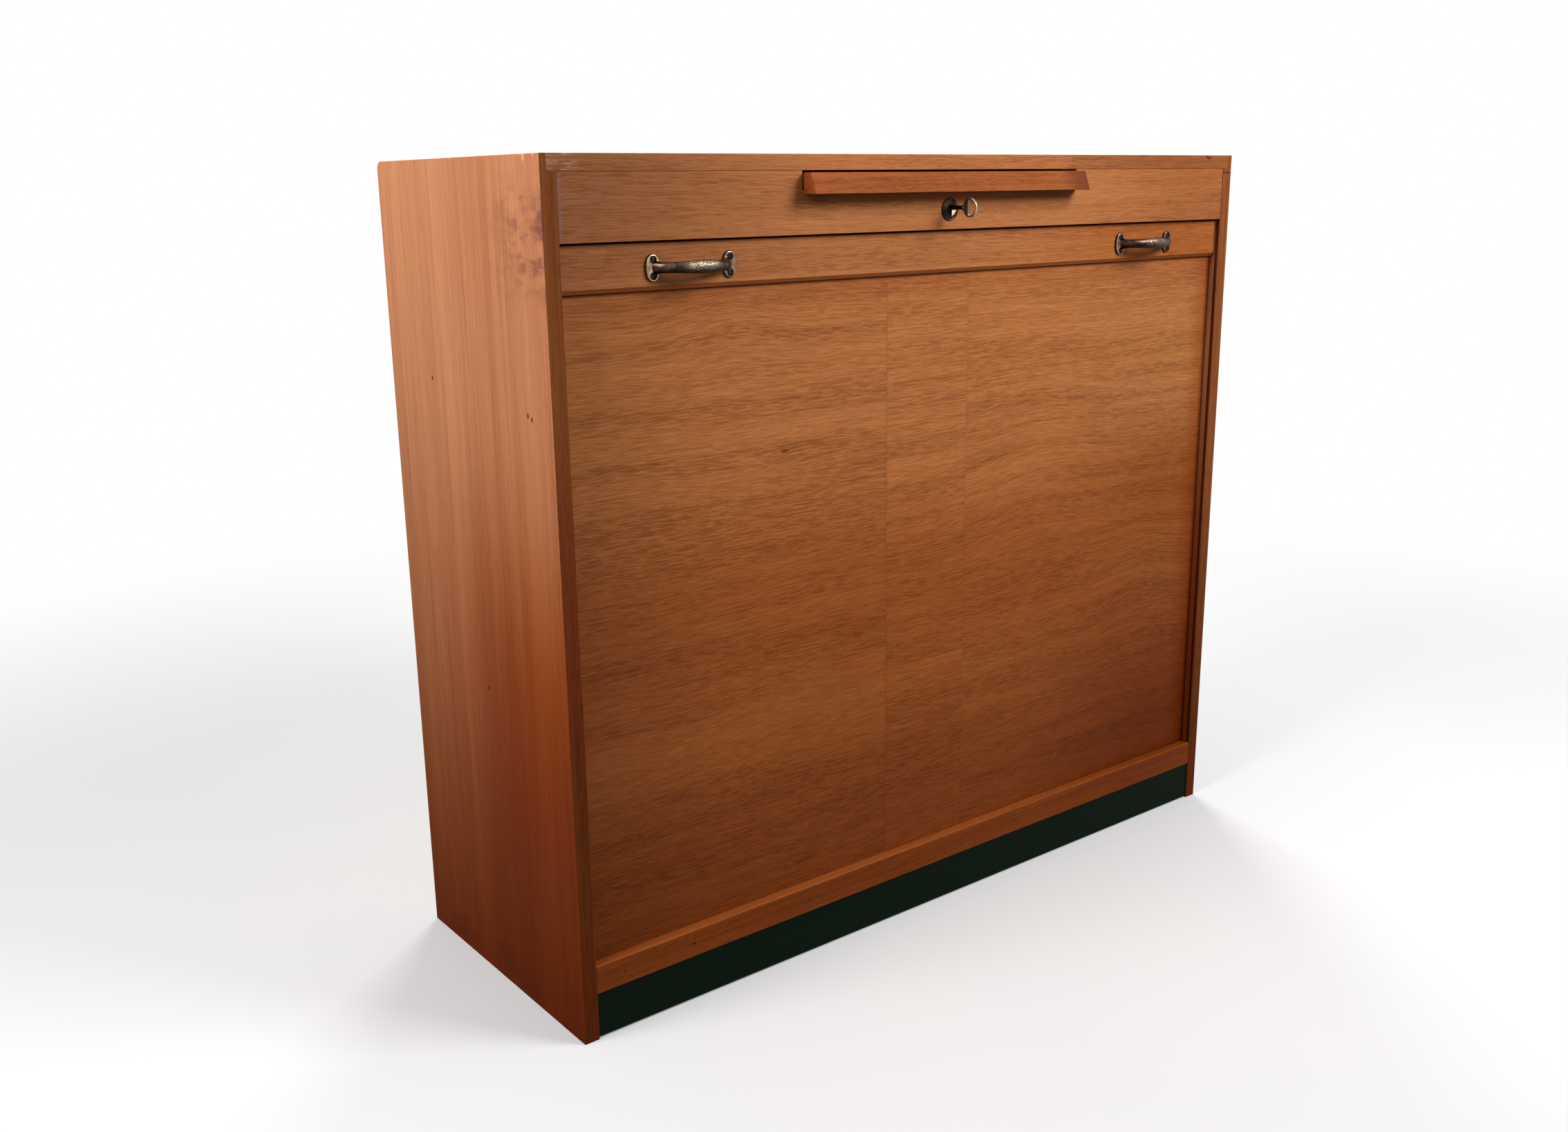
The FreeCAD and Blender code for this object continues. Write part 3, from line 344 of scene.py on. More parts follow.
def edge_wear_and_highlight(m, colour, low, high, amount):
    """Lightens a board's arrises in a thin ragged line, as wear and as a painted highlight along the
    edge, with a chip here and there.
    """
    distance = edge_distance(m, low, high)
    ragged = m.noise(45, detail=4.0, roughness=0.7)
    line = m.ramp(m.between(ragged, 0.4, 0.66), 0.65 * EDGE_WEAR_AND_HIGHLIGHT_REACH, 0.35 * EDGE_WEAR_AND_HIGHLIGHT_REACH)
    rubbed = m.flipped(m.between(distance, m.times(line, 0.3), line))
    chip = m.noise(31, detail=3.0, roughness=0.6, source=m.moved((5, 5, 5)))
    notch = m.ramp(m.between(chip, 0.66, 0.8), CHIP_REACH, 0.01 * MM)
    chipped = m.flipped(m.between(distance, m.times(notch, 0.7), notch))
    share = m.times(m.sums("MAXIMUM", rubbed, m.times(chipped, 1.4)), amount)
    return m.mixed(share, colour, m.mixed(1.0, colour, EDGE_WEAR_AND_HIGHLIGHT_GAIN, blend="MULTIPLY"))


def painted_low_shade(m, colour, low_shades):
    """Painted shade that darkens wood towards the floor, where light falls off, each further tint
    closer to it.
    """
    share = m.within("z", LOW_SHADE_TO, LOW_SHADE_FROM)
    for tint in low_shades:
        colour = m.mixed(share, colour, tint, blend="MULTIPLY")
        share = m.times(share, share)
    return colour


def spotted(m, colour, spots, spot_colour, squash=(1, 1, 1), amount=0.9):
    """Small spots, each given by its place and radius."""
    for place, radius in spots:
        distance = m.length(m.scaled(squash, m.moved(Vector(place) * -1)))
        ragged = m.ramp(m.noise(260), radius * 0.9, distance)
        share = m.flipped(m.between(ragged, radius * 0.75, radius * 1.6))
        colour = m.mixed(m.times(share, amount), colour, spot_colour)
    return colour


def lacquered(m, colour, relief, roughness=0.45, depth=0.08 * MM, gloss=0.04):
    """Satin lacquer over wood: gloss that varies over the board, and pores that dip."""
    cloud = m.noise(14, detail=3.0)
    rough = m.ramp(cloud, 0.16, roughness - 0.08)
    m.bumped(relief, depth)
    return m.finish(Base_Color=colour, Roughness=rough, Specular_IOR_Level=gloss)


def plain(m, colour):
    return colour


def board_wood(name, look, axis, low, high, seed, extra=plain, roughness=0.45, low_shades=(),
               wear_and_highlight=0.4, gloss=0.04):
    """Lacquered wood for a board between two corners, lighter at its edges with wear and a painted
    highlight.
    """
    m = Material(name)
    colour, relief = grain(m, look, axis, seed)
    # Painted shade darkens the board towards the floor, by the factors given.
    colour = painted_low_shade(m, edge_wear_and_highlight(m, extra(m, colour), low, high, wear_and_highlight), low_shades)
    return lacquered(m, colour, relief, roughness, gloss=gloss)


def dress(node, material):
    """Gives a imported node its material."""
    slots = nodes[node].data.materials
    slots.clear()
    slots.append(material)


def modify(item, *steps):
    """Adds modifiers to an object, each given as its kind and settings."""
    for kind, settings in steps:
        step = item.modifiers.new(kind.lower(), kind)
        for name, value in settings.items():
            setattr(step, name, value)


def ease(node, width):
    """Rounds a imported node's arrises a little. Its own mesh stays as it is."""
    modify(nodes[node], ("WELD", {"merge_threshold": 0.005 * MM}),
           ("DECIMATE", {"decimate_type": "DISSOLVE", "angle_limit": math.radians(0.5)}),
           ("BEVEL", {"width": width, "segments": 2, "limit_method": "ANGLE",
                      "angle_limit": math.radians(30)}), ("WEIGHTED_NORMAL", {"keep_sharp": False}))


# Carcass

SIDE_GLOSS = 0.008
VENEER_EDGE = 0.8 * MM
# Small knots on the left side: height, and distance from the front edge
SIDE_KNOTS = ((0.792, 0.300), (0.771, 0.055), (0.768, 0.046), (0.41, 0.2))
KNOT_RADIUS = 2.6 * MM
# Chips out of the veneer at the left side's top edge: distance from the front, and size
SIDE_CHIPS = ((0.034, 2.6 * MM), (0.012, 1.2 * MM), (0.21, 1.0 * MM))
LEFT_HALF = ("x", 0.1, -0.1)
# Where the right lipping's joint with the top's lipping starts, and its filled hole
JOINT_X, JOINT_Z = 0.5805, 1.0295
FILLED_HOLE = (0.5845, FRONT, 1.033)


def warm_front(m, colour):
    """The sides are darker and more orange low down near their front edges."""
    return m.tinted(colour, ((0.72, 0.42, 0.2), 1.0, ("y", 0.19, -0.12), ("z", 0.37, 0.04, 0.44)))


def left_side_marks(m, colour):
    """Rubbed marks near the top of the front edge, a dirty foot, chips and small knots."""
    mark = m.noise((9, 26, 48), detail=4.0, roughness=0.65)
    colour = warm_front(m, m.zoned(
        colour,
        (SMUDGE, 0.75, ("y", FRONT + 0.16, FRONT), ("z", SIDE_HIGH.z - 0.09, 0.02, 0.085),
         (mark, 0.38, 0.64)),
        (SMUDGE, 0.3, ("z", 0.12, SIDE_LOW.z), (mark, 0.35, 0.7))))
    chips = [((SIDE_LOW.x, FRONT + depth, SIDE_HIGH.z - size), size) for depth, size in SIDE_CHIPS]
    colour = spotted(m, colour, chips, WORN_WOOD, squash=(0, 1, 0.45))
    spots = [((SIDE_LOW.x, FRONT + depth, height), KNOT_RADIUS) for height, depth in SIDE_KNOTS]
    return spotted(m, colour, spots, DARK_MARK_AND_SHADOW, squash=(0, 1, 0.6))


def over_lipping(sign, seed, marks, joint):
    """The side's veneer, which covers the lipping's outer face too."""
    def veneered(m, colour):
        # Both the side's veneer and the lipping's oak get painted shade towards the floor.
        side = painted_low_shade(m, marks(m, grain(m, SIDE_WOOD, "Z", seed)[0]), SIDE_LOW_SHADES)
        # Painted shade: the lipping's inner face just behind its front is dark brown, as it is in
        # shade.
        colour = m.zoned(joint(m, colour),
                         (paint(88, 42, 20), 1.0, ("y", LIP_FRONT, LIP_FRONT + 3 * MM)))
        colour = m.tinted(painted_low_shade(m, colour, FRONT_LOW_SHADES),
                          ((0.88, 0.66, 0.72), 1.0, ("z", 0.52, 0.06, 0.3), LEFT_HALF),
                          ((1.26, 1.22, 1.36), 1.0, ("z", 0.32, 0.12), LEFT_HALF))
        edge = -SIDE_LOW.x - VENEER_EDGE
        outward = m.times(m.x, sign)
        return m.mixed(m.between(outward, edge - 0.1 * MM, edge), colour, side)
    return veneered


def corner_joint(m, colour):
    """Dark glue line, crack and filler where the right lipping meets the top's lipping."""
    colour = m.zoned(
        colour,
        (DARK_MARK_AND_SHADOW, 0.8, ("z", JOINT_Z, 0.6 * MM, 1.3 * MM), ("x", JOINT_X, JOINT_X + 1.5 * MM)),
        (DARK_MARK_AND_SHADOW, 0.8, ("x", JOINT_X + 1 * MM, JOINT_X),
         ("z", FASCIA_LOW.z, FASCIA_LOW.z + 10 * MM)))
    return spotted(m, colour, [(FILLED_HOLE, 1.6 * MM)], DARK_MARK_AND_SHADOW, amount=0.7)


for sign, hand, look, seed, lip_seed, marks, joint in (
        (-1, "left", EDGE_WOOD, 1, 4, left_side_marks, plain),
        (1, "right", RIGHT_EDGE_WOOD, 2, 5, warm_front, corner_joint)):
    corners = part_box(f"{hand}_side")
    # The lipping in front of the side wears its veneer too
    corners[0].y = FRONT
    dress(f"{hand}_side", board_wood(f"{hand}_side_veneer", SIDE_WOOD, "Z", *corners, seed,
                                     marks, low_shades=SIDE_LOW_SHADES, wear_and_highlight=0.55, gloss=SIDE_GLOSS))
    dress(f"{hand}_lipping", board_wood(f"{hand}_edge_wood", look, "Z", *corners, lip_seed,
                                        over_lipping(sign, seed, marks, joint), gloss=SIDE_GLOSS))


def painted_end_shade(m, colour, left_factors):
    """Painted shade: the front's oak is darker and redder towards its ends, most at the left."""
    return m.tinted(colour, (left_factors, 1.0, ("x", -0.15, -0.6)),
                    ((0.76, 0.68, 0.6), 1.0, ("x", 0.18, 0.5)))


def sheen_flecks_and_end_shade(m, colour, amount):
    """Painted reflection: pale flecks at the left end of the oak above the rail; and painted shade at
    its ends.
    """
    ray = m.noise((60, 40, 420), distortion=0.8)
    end = TOP_LIP_LOW.x
    # Painted reflection: pale streaks near the left end stand in for the lacquer's sheen.
    colour = m.zoned(colour, (paint(216, 182, 160), amount, ("x", end + 0.055, end + 0.02),
                              (ray, 0.53, 0.64)))
    return painted_end_shade(m, colour, (0.6, 0.58, 0.62))


TOP_LIP_SPOTS = ((0.539, 1.0525), (0.545, 1.051))
TOP_LIP_BREAK = PULL_HIGH.x - 12 * MM


def top_lip_marks(m, colour):
    """Painted reflection flecks and end shade, a dark spot near the right end, and a darker piece right
    of the slide.
    """
    colour = m.tinted(sheen_flecks_and_end_shade(m, colour, 0.6),
                      ((0.7, 0.66, 0.62), 0.55, ("x", TOP_LIP_BREAK, TOP_LIP_BREAK + 2 * MM)))
    spots = [((x, FRONT, z), 2.8 * MM) for x, z in TOP_LIP_SPOTS]
    return spotted(m, colour, spots, DARK_MARK_AND_SHADOW, squash=(0.6, 1, 1), amount=0.75)


def fascia_marks(m, colour):
    """Painted reflection flecks and end shade, a grey glue line, the dark joint under the top lipping,
    and painted shade in the keyhole.
    """
    end, top = FASCIA_LOW.x, FASCIA_HIGH.z
    colour = m.zoned(sheen_flecks_and_end_shade(m, colour, 0.16),
                     (paint(128, 98, 98), 0.4, ("x", end + 7 * MM, end + 3 * MM)),
                     (DARK_MARK_AND_SHADOW, 0.6, ("z", top - 0.9 * MM, top - 0.3 * MM)))
    # Painted shade: a near-black spot on the fascia where the keyhole goes through it.
    keyhole = (0, FRONT, PLATE_LOW.z + 13 * MM)
    return spotted(m, colour, [(keyhole, 8 * MM)], paint(12, 8, 6), squash=(1, 0, 1), amount=1.0)


# Nail heads and a small knot on the sill's face: x, share of the height, and radius
SILL_DOTS = ((-0.435, 0.5, 2.8 * MM), (-0.433, 0.78, 1.2 * MM), (-0.539, 0.45, 1.6 * MM),
             (0.155, 0.5, 2.4 * MM))


def sill_marks(m, colour):
    """Nail heads, and painted light that makes the top edge, which faces up, lighter and more orange.
    """
    top = SILL_HIGH.z
    # Painted light: the top edge, which faces up, is lighter and more orange.
    colour = m.tinted(colour, ((1.25, 1.45, 1.6), 0.6, ("z", top - 2.5 * MM, top - 0.8 * MM)),
                      ((0.84, 0.74, 0.5), 1.0, ("x", 0.1, 0.5)))
    spots = [((place, SILL_LOW.y, SILL_LOW.z + share * (top - SILL_LOW.z)), radius)
             for place, share, radius in SILL_DOTS]
    return spotted(m, colour, spots, DARK_MARK_AND_SHADOW)


for node, name, look, seed, settings in (
        ("top_panel", "top_veneer", SIDE_WOOD, 3, {"gloss": SIDE_GLOSS}),
        ("top_lipping", "top_lip_oak", OAK, 6, {"extra": top_lip_marks, "wear_and_highlight": 0.0}),
        ("fascia_rail", "fascia_oak", OAK, 7, {"extra": fascia_marks, "wear_and_highlight": 0.0}),
        ("sill_rail", "sill_wood", SILL_WOOD, 8,
         {"extra": sill_marks, "low_shades": FRONT_LOW_SHADES, "wear_and_highlight": 0.15})):
    dress(node, board_wood(name, look, "X", *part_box(node), seed, **settings))


def plinth_paint():
    """Dark green satin paint with brush lines and scuffs."""
    m = Material("plinth_paint")
    brush = m.noise((3, 260, 260), detail=3.0)
    scuff = m.between(m.noise((30, 60, 140), detail=4.0, roughness=0.7), 0.62, 0.76)
    colour = m.mixed(brush, paint(10, 20, 12), paint(18, 31, 20))
    colour = m.mixed(m.times(scuff, 0.2), colour, paint(60, 66, 54))
    m.bumped(brush, 0.05 * MM)
    rough = m.ramp(scuff, 0.2, 0.5)
    return m.finish(Base_Color=colour, Roughness=rough, Specular_IOR_Level=0.02)


dress("front_plinth", plinth_paint())

SHARP_BOARDS = ("false_back", "floor_cleats", "dust_cleats", "corner_blocks")
for seed, (node, look, axis) in enumerate((
        ("dust_panel", PLYWOOD, "X"), ("back_rail", PALE_WOOD, "X"),
        ("floor_panel", PLYWOOD, "X"), ("false_back", PLYWOOD, "Z"),
        ("back_panel", PLYWOOD, "Z"), ("back_plinth", PALE_WOOD, "X"),
        ("floor_cleats", PALE_WOOD, "Y"), ("dust_cleats", PALE_WOOD, "Y"),
        ("corner_blocks", PALE_WOOD, "Z"), ("lower_shelf", SIDE_WOOD, "X"),
        ("upper_shelf", SIDE_WOOD, "X"), ("slide_board", SIDE_WOOD, "X"),
        ("slide_stop", PALE_WOOD, "X"), ("left_runner", PALE_WOOD, "Y"),
        ("right_runner", PALE_WOOD, "Y")), start=20):
    dress(node, board_wood(f"{node}_wood", look, axis, *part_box(node), seed, roughness=0.5))
    if node not in SHARP_BOARDS:
        ease(node, 0.6 * MM)


def pull_ends(m, colour):
    """The pull bar's left end grain is orange, and its face is dirty towards the right."""
    ragged = m.ramp(m.noise((40, 40, 160), detail=3.0), 24 * MM, m.x)
    left, right = PULL_LOW.x, PULL_HIGH.x
    return m.zoned(colour, (paint(112, 52, 20), 0.6, ("x", left + 0.6 * MM, left + 0.2 * MM)),
                   (paint(104, 50, 30), 0.9, (ragged, right - 50 * MM, right + 6 * MM)))


def rail_marks(m, colour):
    """Painted shade at the ends, an orange right half, painted light on the bevel, and painted shade on
    the top of the bead.
    """
    colour = m.tinted(painted_end_shade(m, colour, (0.72, 0.7, 0.74)),
                      ((1.0, 0.87, 0.68), 1.0, ("x", 0.05, 0.4)))
    foot, top = RAIL_LOW.z, RAIL_HIGH.z
    # Painted light lightens the lower bevel, and painted shade darkens the top of the bead where the
    # gap under the fascia is.
    return m.zoned(colour, (paint(206, 116, 50), 0.6, ("z", foot + 5 * MM, foot + 2 * MM)),
                   (paint(96, 46, 26), 0.9, ("z", top + 1.4 * MM, top + 2.2 * MM)))


PULL_MATERIAL = board_wood("pull_wood", PULL_WOOD, "X", PULL_LOW, PULL_HIGH, 9, pull_ends,
                           roughness=0.6, wear_and_highlight=0.0)
RAIL_MATERIAL = board_wood("lead_rail_oak", OAK, "X", RAIL_LOW, RAIL_HIGH, 10, rail_marks, wear_and_highlight=0.0)
dress("lead_rail", RAIL_MATERIAL)

for node in ("left_side", "right_side", "top_panel", "left_lipping", "right_lipping"):
    ease(node, 0.35 * MM)
for node in ("top_lipping", "fascia_rail", "sill_rail", "front_plinth", "lead_rail"):
    ease(node, 0.6 * MM)


# Mesh helpers

def added(name, data):
    """A new object in the scene."""
    item = bpy.data.objects.new(name, data)
    bpy.context.scene.collection.objects.link(item)
    return item


def new_piece(name, mesh, material, body):
    """Adds an object for a mesh, which rides on a body."""
    item = added(name, mesh)
    mesh.materials.clear()
    mesh.materials.append(material)
    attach(item, body)
    return item


def add_loft(work, sections, closed=False):
    """Adds a skin through sections, which are rings of as many points each. It has a cap at
    each end, or leads back to its first section when it is closed."""
    rings = [[work.verts.new(point) for point in ring] for ring in sections]
    for ring, following in zip(rings, rings[1:] + rings[:1] if closed else rings[1:]):
        for i in range(len(ring)):
            j = (i + 1) % len(ring)
            work.faces.new((ring[i], ring[j], following[j], following[i]))
    if not closed:
        work.faces.new(rings[0][::-1])
        work.faces.new(rings[-1])


def add_bar(work, outline, left, right, place=Matrix.Identity(4)):
    """Adds a bar along X: its outline is (y, z) points, moved by a matrix."""
    add_loft(work, [[place @ Vector((x, y, z)) for y, z in outline] for x in (left, right)])


def oblong(front, back, foot, top):
    """The outline of a bar with a rectangular section."""
    return [(front, foot), (back, foot), (back, top), (front, top)]


def circle(count, power=1.0):
    """Steps round a circle, as cosine and sine. A power below 1 makes the circle squarer."""
    turns = [2 * math.pi * i / count for i in range(count)]
    return [[math.copysign(abs(part) ** power, part) for part in (math.cos(t), math.sin(t))]
            for t in turns]


def add_lathe(work, profile, axis_x, axis_z, sides):
    """Adds a solid turned about a line along Y. Its profile is (y, radius) pairs."""
    add_loft(work, [[Vector((axis_x + radius * across, y, axis_z + radius * up))
                     for across, up in circle(sides)] for y, radius in profile])


def to_mesh(work, name):
    bmesh.ops.recalc_face_normals(work, faces=work.faces)
    mesh = bpy.data.meshes.new(name)
    work.to_mesh(mesh)
    work.free()
    return mesh


def formed(name, *skins):
    """A mesh of skins, each given as the function that adds it and what that needs."""
    work = bmesh.new()
    for add, *details in skins:
        add(work, *details)
    return to_mesh(work, name)


def reworked(mesh, name, *steps):
    """A mesh after modifiers, each given as its kind and settings."""
    item = added(name, mesh)
    modify(item, *steps)
    depsgraph = bpy.context.evaluated_depsgraph_get()
    made = bpy.data.meshes.new_from_object(item.evaluated_get(depsgraph))
    made.name = name
    bpy.data.objects.remove(item)
    return made


def carved(mesh, name, cutter):
    """A mesh with the space of another mesh taken out of it."""
    tool = added("cutter", cutter)
    made = reworked(mesh, name, ("BOOLEAN", {"object": tool, "operation": "DIFFERENCE",
                                             "solver": "EXACT"}))
    bpy.data.objects.remove(tool)
    return made


# Edges that close the gaps above the slide's pull bar and above the lead rail

PULL_SLOPE = 8.2 / 22.5
PULL_RISE = 2.7 * MM
BEAD_DEPTH, BEAD_RISE = 2 * MM, 3.2 * MM
# How far the bead reaches down the rail, its chamfer, and how far it stands proud of the rail
BEAD_ROOT, BEAD_CHAMFER, BEAD_PROUD = 3 * MM, 0.5 * MM, 0.02 * MM


def pull_bar():
    """The slide's pull bar, with its leaning face carried up to just below the top."""
    front, back = PULL_LOW.y, PULL_HIGH.y
    foot, top = PULL_LOW.z, PULL_HIGH.z + PULL_RISE
    lean = (top - foot) * PULL_SLOPE
    outline = [(front, foot), (front + lean, top), (back, top), (back, foot)]
    made = reworked(formed("pull_bar", (add_bar, outline, PULL_LOW.x, PULL_HIGH.x)), "pull_bar",
                    ("BEVEL", {"width": 1.0 * MM, "segments": 3}),
                    ("WEIGHTED_NORMAL", {"keep_sharp": False}))
    return new_piece("pull_bar", made, PULL_MATERIAL, "slide")


def rail_bead():
    """A bead along the lead rail's upper front edge, in front of the lock's bolt."""
    front, back = RAIL_LOW.y - BEAD_PROUD, RAIL_LOW.y + BEAD_DEPTH
    foot, top = RAIL_HIGH.z - BEAD_ROOT, RAIL_HIGH.z + BEAD_RISE
    outline = [(front, foot), (front, top - BEAD_CHAMFER), (front + BEAD_CHAMFER, top),
               (back, top), (back, foot)]
    bead = formed("rail_bead", (add_bar, outline, RAIL_LOW.x, RAIL_HIGH.x))
    new_piece("rail_bead", bead, RAIL_MATERIAL, "tambour")


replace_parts(pull_bar(), "slide_pull")
rail_bead()


# Metals

def metal(name, bright, dull, roughness, tarnish=(0.45, 0.7), extra=plain):
    """Worn plated metal: bright where it is handled, dull and rougher in patches."""
    m = Material(name)
    cloud = m.noise(90, detail=5.0, roughness=0.65)
    speck = m.noise(900)
    scratch = m.noise((120, 1500, 1500))
    dirty = m.between(cloud, *tarnish)
    colour = m.zoned(m.mixed(dirty, bright, dull), (dull, 0.5, (speck, 0.6, 0.7)))
    m.bumped(m.sums("SUBTRACT", scratch, m.between(speck, 0.62, 0.72)), 0.03 * MM)
    rough = m.ramp(dirty, 0.22, roughness)
    return m.finish(Base_Color=extra(m, colour), Roughness=rough, Metallic=1.0)


def glint_wedge(m, colour):
    """Painted reflection: the escutcheon is painted bright in a wedge just right of the keyhole's slot.
    """
    drop = m.sums("SUBTRACT", KEY_AXIS, m.z)
    reach = m.length(m.joined(m.x, 0.0, drop))
    return m.zoned(colour, (paint(226, 198, 168), 0.95, ("x", 1.6 * MM, 2.6 * MM),
                            (drop, 1.8 * MM, 3.2 * MM), (reach, 11.5 * MM, 9.5 * MM)))


DARK_PLATE = metal("escutcheon_metal", paint(60, 47, 37), paint(25, 18, 14), 0.26,
                   tarnish=(0.3, 0.6), extra=glint_wedge)
STEEL = metal("plain_steel", paint(152, 148, 142), paint(94, 86, 78), 0.34)
SCREW_STEEL = metal("old_screw_steel", paint(48, 38, 34), paint(24, 18, 16), 0.45)
BRASS = metal("dull_brass", paint(192, 156, 94), paint(128, 94, 52), 0.32)

for node in ("shelf_pins", "pull_screws", "runner_screws", "lock_screws", "lock_case", "strike_screws"):
    dress(node, STEEL)
for node in ("lock_bolt", "strike_plate"):
    dress(node, BRASS)


# Bow handles

# Half the width and height of a foot, and the power that makes its oval squarer
FOOT_OVAL = (10 * MM, (HANDLE_HIGH.z - HANDLE_LOW.z) / 2, 2.3)
FOOT_ROUND = (2.0 * MM, 1.5 * MM)
FOOT_POINTS = 36
ROOT_INSET = 4.5 * MM
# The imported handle's feet are 19 mm wide
HALF_SPAN = (HANDLE_HIGH.x - HANDLE_LOW.x - 19 * MM) / 2
HANDLE_X = -(HANDLE_LOW.x + HANDLE_HIGH.x) / 2
HANDLE_Z = (HANDLE_LOW.z + HANDLE_HIGH.z) / 2
HANDLE_BACK = HANDLE_HIGH.y
FOOT_THICKNESS = 3 * MM
FOOT_FACE = HANDLE_BACK - FOOT_THICKNESS
# Height and depth of the grip's section, at its ends and in its middle
NECK_SECTION = (12.4 * MM, 9.6 * MM)
GRIP_SECTION = (16 * MM, 12 * MM)
SWELL_REACH = 22 * MM
FLARE, FLARE_REACH = 0.32, 2.2 * MM
GRIP_STATIONS, GRIP_POINTS = 56, 28
SCREW_RISE = 9.3 * MM
SCREW_HEAD_RADIUS = 3.5 * MM
SHANK_RADIUS = 1.6 * MM
SINK_RADIUS = 4.4 * MM
SINK_HOLE_RADIUS = 1.8 * MM
CAST_VOXEL = 0.45 * MM


def oval(middle_x, inset, y):
    """A ring of points round a foot, drawn in by an inset."""
    half_width, half_height, power = FOOT_OVAL
    return [Vector((middle_x + (half_width - inset) * across, y, HANDLE_Z + (half_height - inset) * up))
            for across, up in circle(FOOT_POINTS, 2 / power)]


def add_foot(work, middle_x):
    """Tall oval plate with a rounded rim."""
    inward, outward = FOOT_ROUND
    rings = [oval(middle_x, 0, HANDLE_BACK)]
    for step in range(5):
        turn = math.pi / 2 * step / 4
        rings.append(oval(middle_x, inward * (1 - math.cos(turn)),
                          FOOT_FACE + outward - outward * math.sin(turn)))
    add_loft(work, rings)


def add_grip(work, middle_x):
    """Bow on half an oval that flares onto its feet and swells in its middle."""
    reach = HANDLE_BACK - HANDLE_LOW.y - GRIP_SECTION[1] / 2
    span = HALF_SPAN - ROOT_INSET
    sections = []
    for i in range(GRIP_STATIONS + 1):
        turn = math.pi * i / GRIP_STATIONS
        out = reach * math.sin(turn)
        centre = Vector((middle_x - span * math.cos(turn), HANDLE_BACK - out, HANDLE_Z))
        along = Vector((span * math.sin(turn), -reach * math.cos(turn), 0)).normalized()
        across = Vector((along.y, -along.x, 0))
        swell = math.exp(-((centre.x - middle_x) / SWELL_REACH) ** 2)
        flare = 1 + FLARE * math.exp(-max(out - FOOT_THICKNESS, 0) / FLARE_REACH)
        height, depth = (flare * (neck + (grip - neck) * swell) / 2
                         for neck, grip in zip(NECK_SECTION, GRIP_SECTION))
        sections.append([centre + across * (depth * spread) + Vector((0, 0, height * lift))
                         for spread, lift in circle(GRIP_POINTS)])
    add_loft(work, sections)


def screw_places(middle_x):
    return [(middle_x + end * HALF_SPAN, HANDLE_Z + rise * SCREW_RISE)
            for end in (-1, 1) for rise in (-1, 1)]


def bow_handle(name, middle_x):
    """One cast handle with four countersunk holes."""
    shape = formed(name, (add_foot, middle_x - HALF_SPAN), (add_foot, middle_x + HALF_SPAN),
                   (add_grip, middle_x))
    cast = reworked(shape, name, ("REMESH", {"mode": "VOXEL", "voxel_size": CAST_VOXEL}),
                    ("SMOOTH", {"factor": 0.5, "iterations": 4}))
    sink = [(FOOT_FACE - 5 * MM, SINK_RADIUS), (FOOT_FACE + 0.3 * MM, SINK_RADIUS),
            (FOOT_FACE + 2.4 * MM, SINK_HOLE_RADIUS), (HANDLE_BACK + 1 * MM, SINK_HOLE_RADIUS)]
    made = carved(cast, name, formed("sinks", *((add_lathe, sink, x, z, 32)
                                                for x, z in screw_places(middle_x))))
    made.shade_smooth()
    return made


def handle_metal():
    """Old nickel: bright on the feet, brown and pitted on the grip, with painted shade that makes faces
    pointing down black and darkens the feet's rims. The right foot of each handle and the whole right
    handle are duller."""
    m = Material("handle_nickel")
    out_y, out_z = m.axes(m.node("ShaderNodeNewGeometry").outputs["Normal"])[1:]
    cloud = m.noise(110, detail=5.0, roughness=0.65)
    speck = m.noise(520, detail=3.0, roughness=0.7)
    pitted = m.between(speck, 0.46, 0.58)
    right_handle = m.sums("GREATER_THAN", m.x, 0.0)
    own_middle = m.ramp(right_handle, 2 * HANDLE_X, -HANDLE_X)
    own_x = m.sums("SUBTRACT", m.x, own_middle)
    from_middle = m.sums("ABSOLUTE", own_x)
    bulge = m.within(from_middle, 28 * MM, 14 * MM)
    drop = m.sums("SUBTRACT", m.apart(m.z, HANDLE_Z), SCREW_RISE)
    from_screw = m.length(m.joined(m.apart(from_middle, HALF_SPAN), drop))

    brown = m.mixed(m.between(cloud, 0.35, 0.65), paint(98, 78, 64), paint(54, 40, 34))
    rubbed = m.mixed(pitted, paint(160, 141, 118), paint(64, 50, 42))
    bright = m.mixed(m.between(cloud, 0.36, 0.6), paint(188, 163, 128), paint(128, 104, 82))
    bright = m.zoned(bright, (paint(92, 74, 60), 0.6, (own_x, -10 * MM, 10 * MM)))
    # Painted shade darkens each foot's rim where it faces away from the front.
    rim = m.mixed(m.within(out_y, -0.7, -0.99), paint(46, 34, 28), bright)
    colour = m.mixed(m.times(bulge, m.between(cloud, 0.25, 0.5), 0.9), brown, rubbed)
    # Painted shade: faces that point down are near-black.
    colour = m.zoned(colour, (paint(20, 14, 12), 0.92, (out_z, 0.25, -0.5)),
                     (rim, 1.0, ("y", FOOT_FACE - 1.2 * MM, FOOT_FACE - 0.2 * MM)))
    colour = m.tinted(colour, ((0.5, 0.44, 0.4), 0.6, ("x", -0.1, 0.1)))
    colour = m.zoned(colour, (paint(24, 17, 15), 0.94,
                              (from_screw, SINK_RADIUS + 0.5 * MM, SINK_RADIUS - 0.1 * MM),
                              ("y", FOOT_FACE - 0.4 * MM, FOOT_FACE + 0.1 * MM)))

    m.bumped(m.sums("SUBTRACT", cloud, m.times(pitted, bulge)), 0.16 * MM)
    rough = m.ramp(cloud, 0.2, 0.2)
    return m.finish(Base_Color=colour, Roughness=rough, Metallic=1.0)


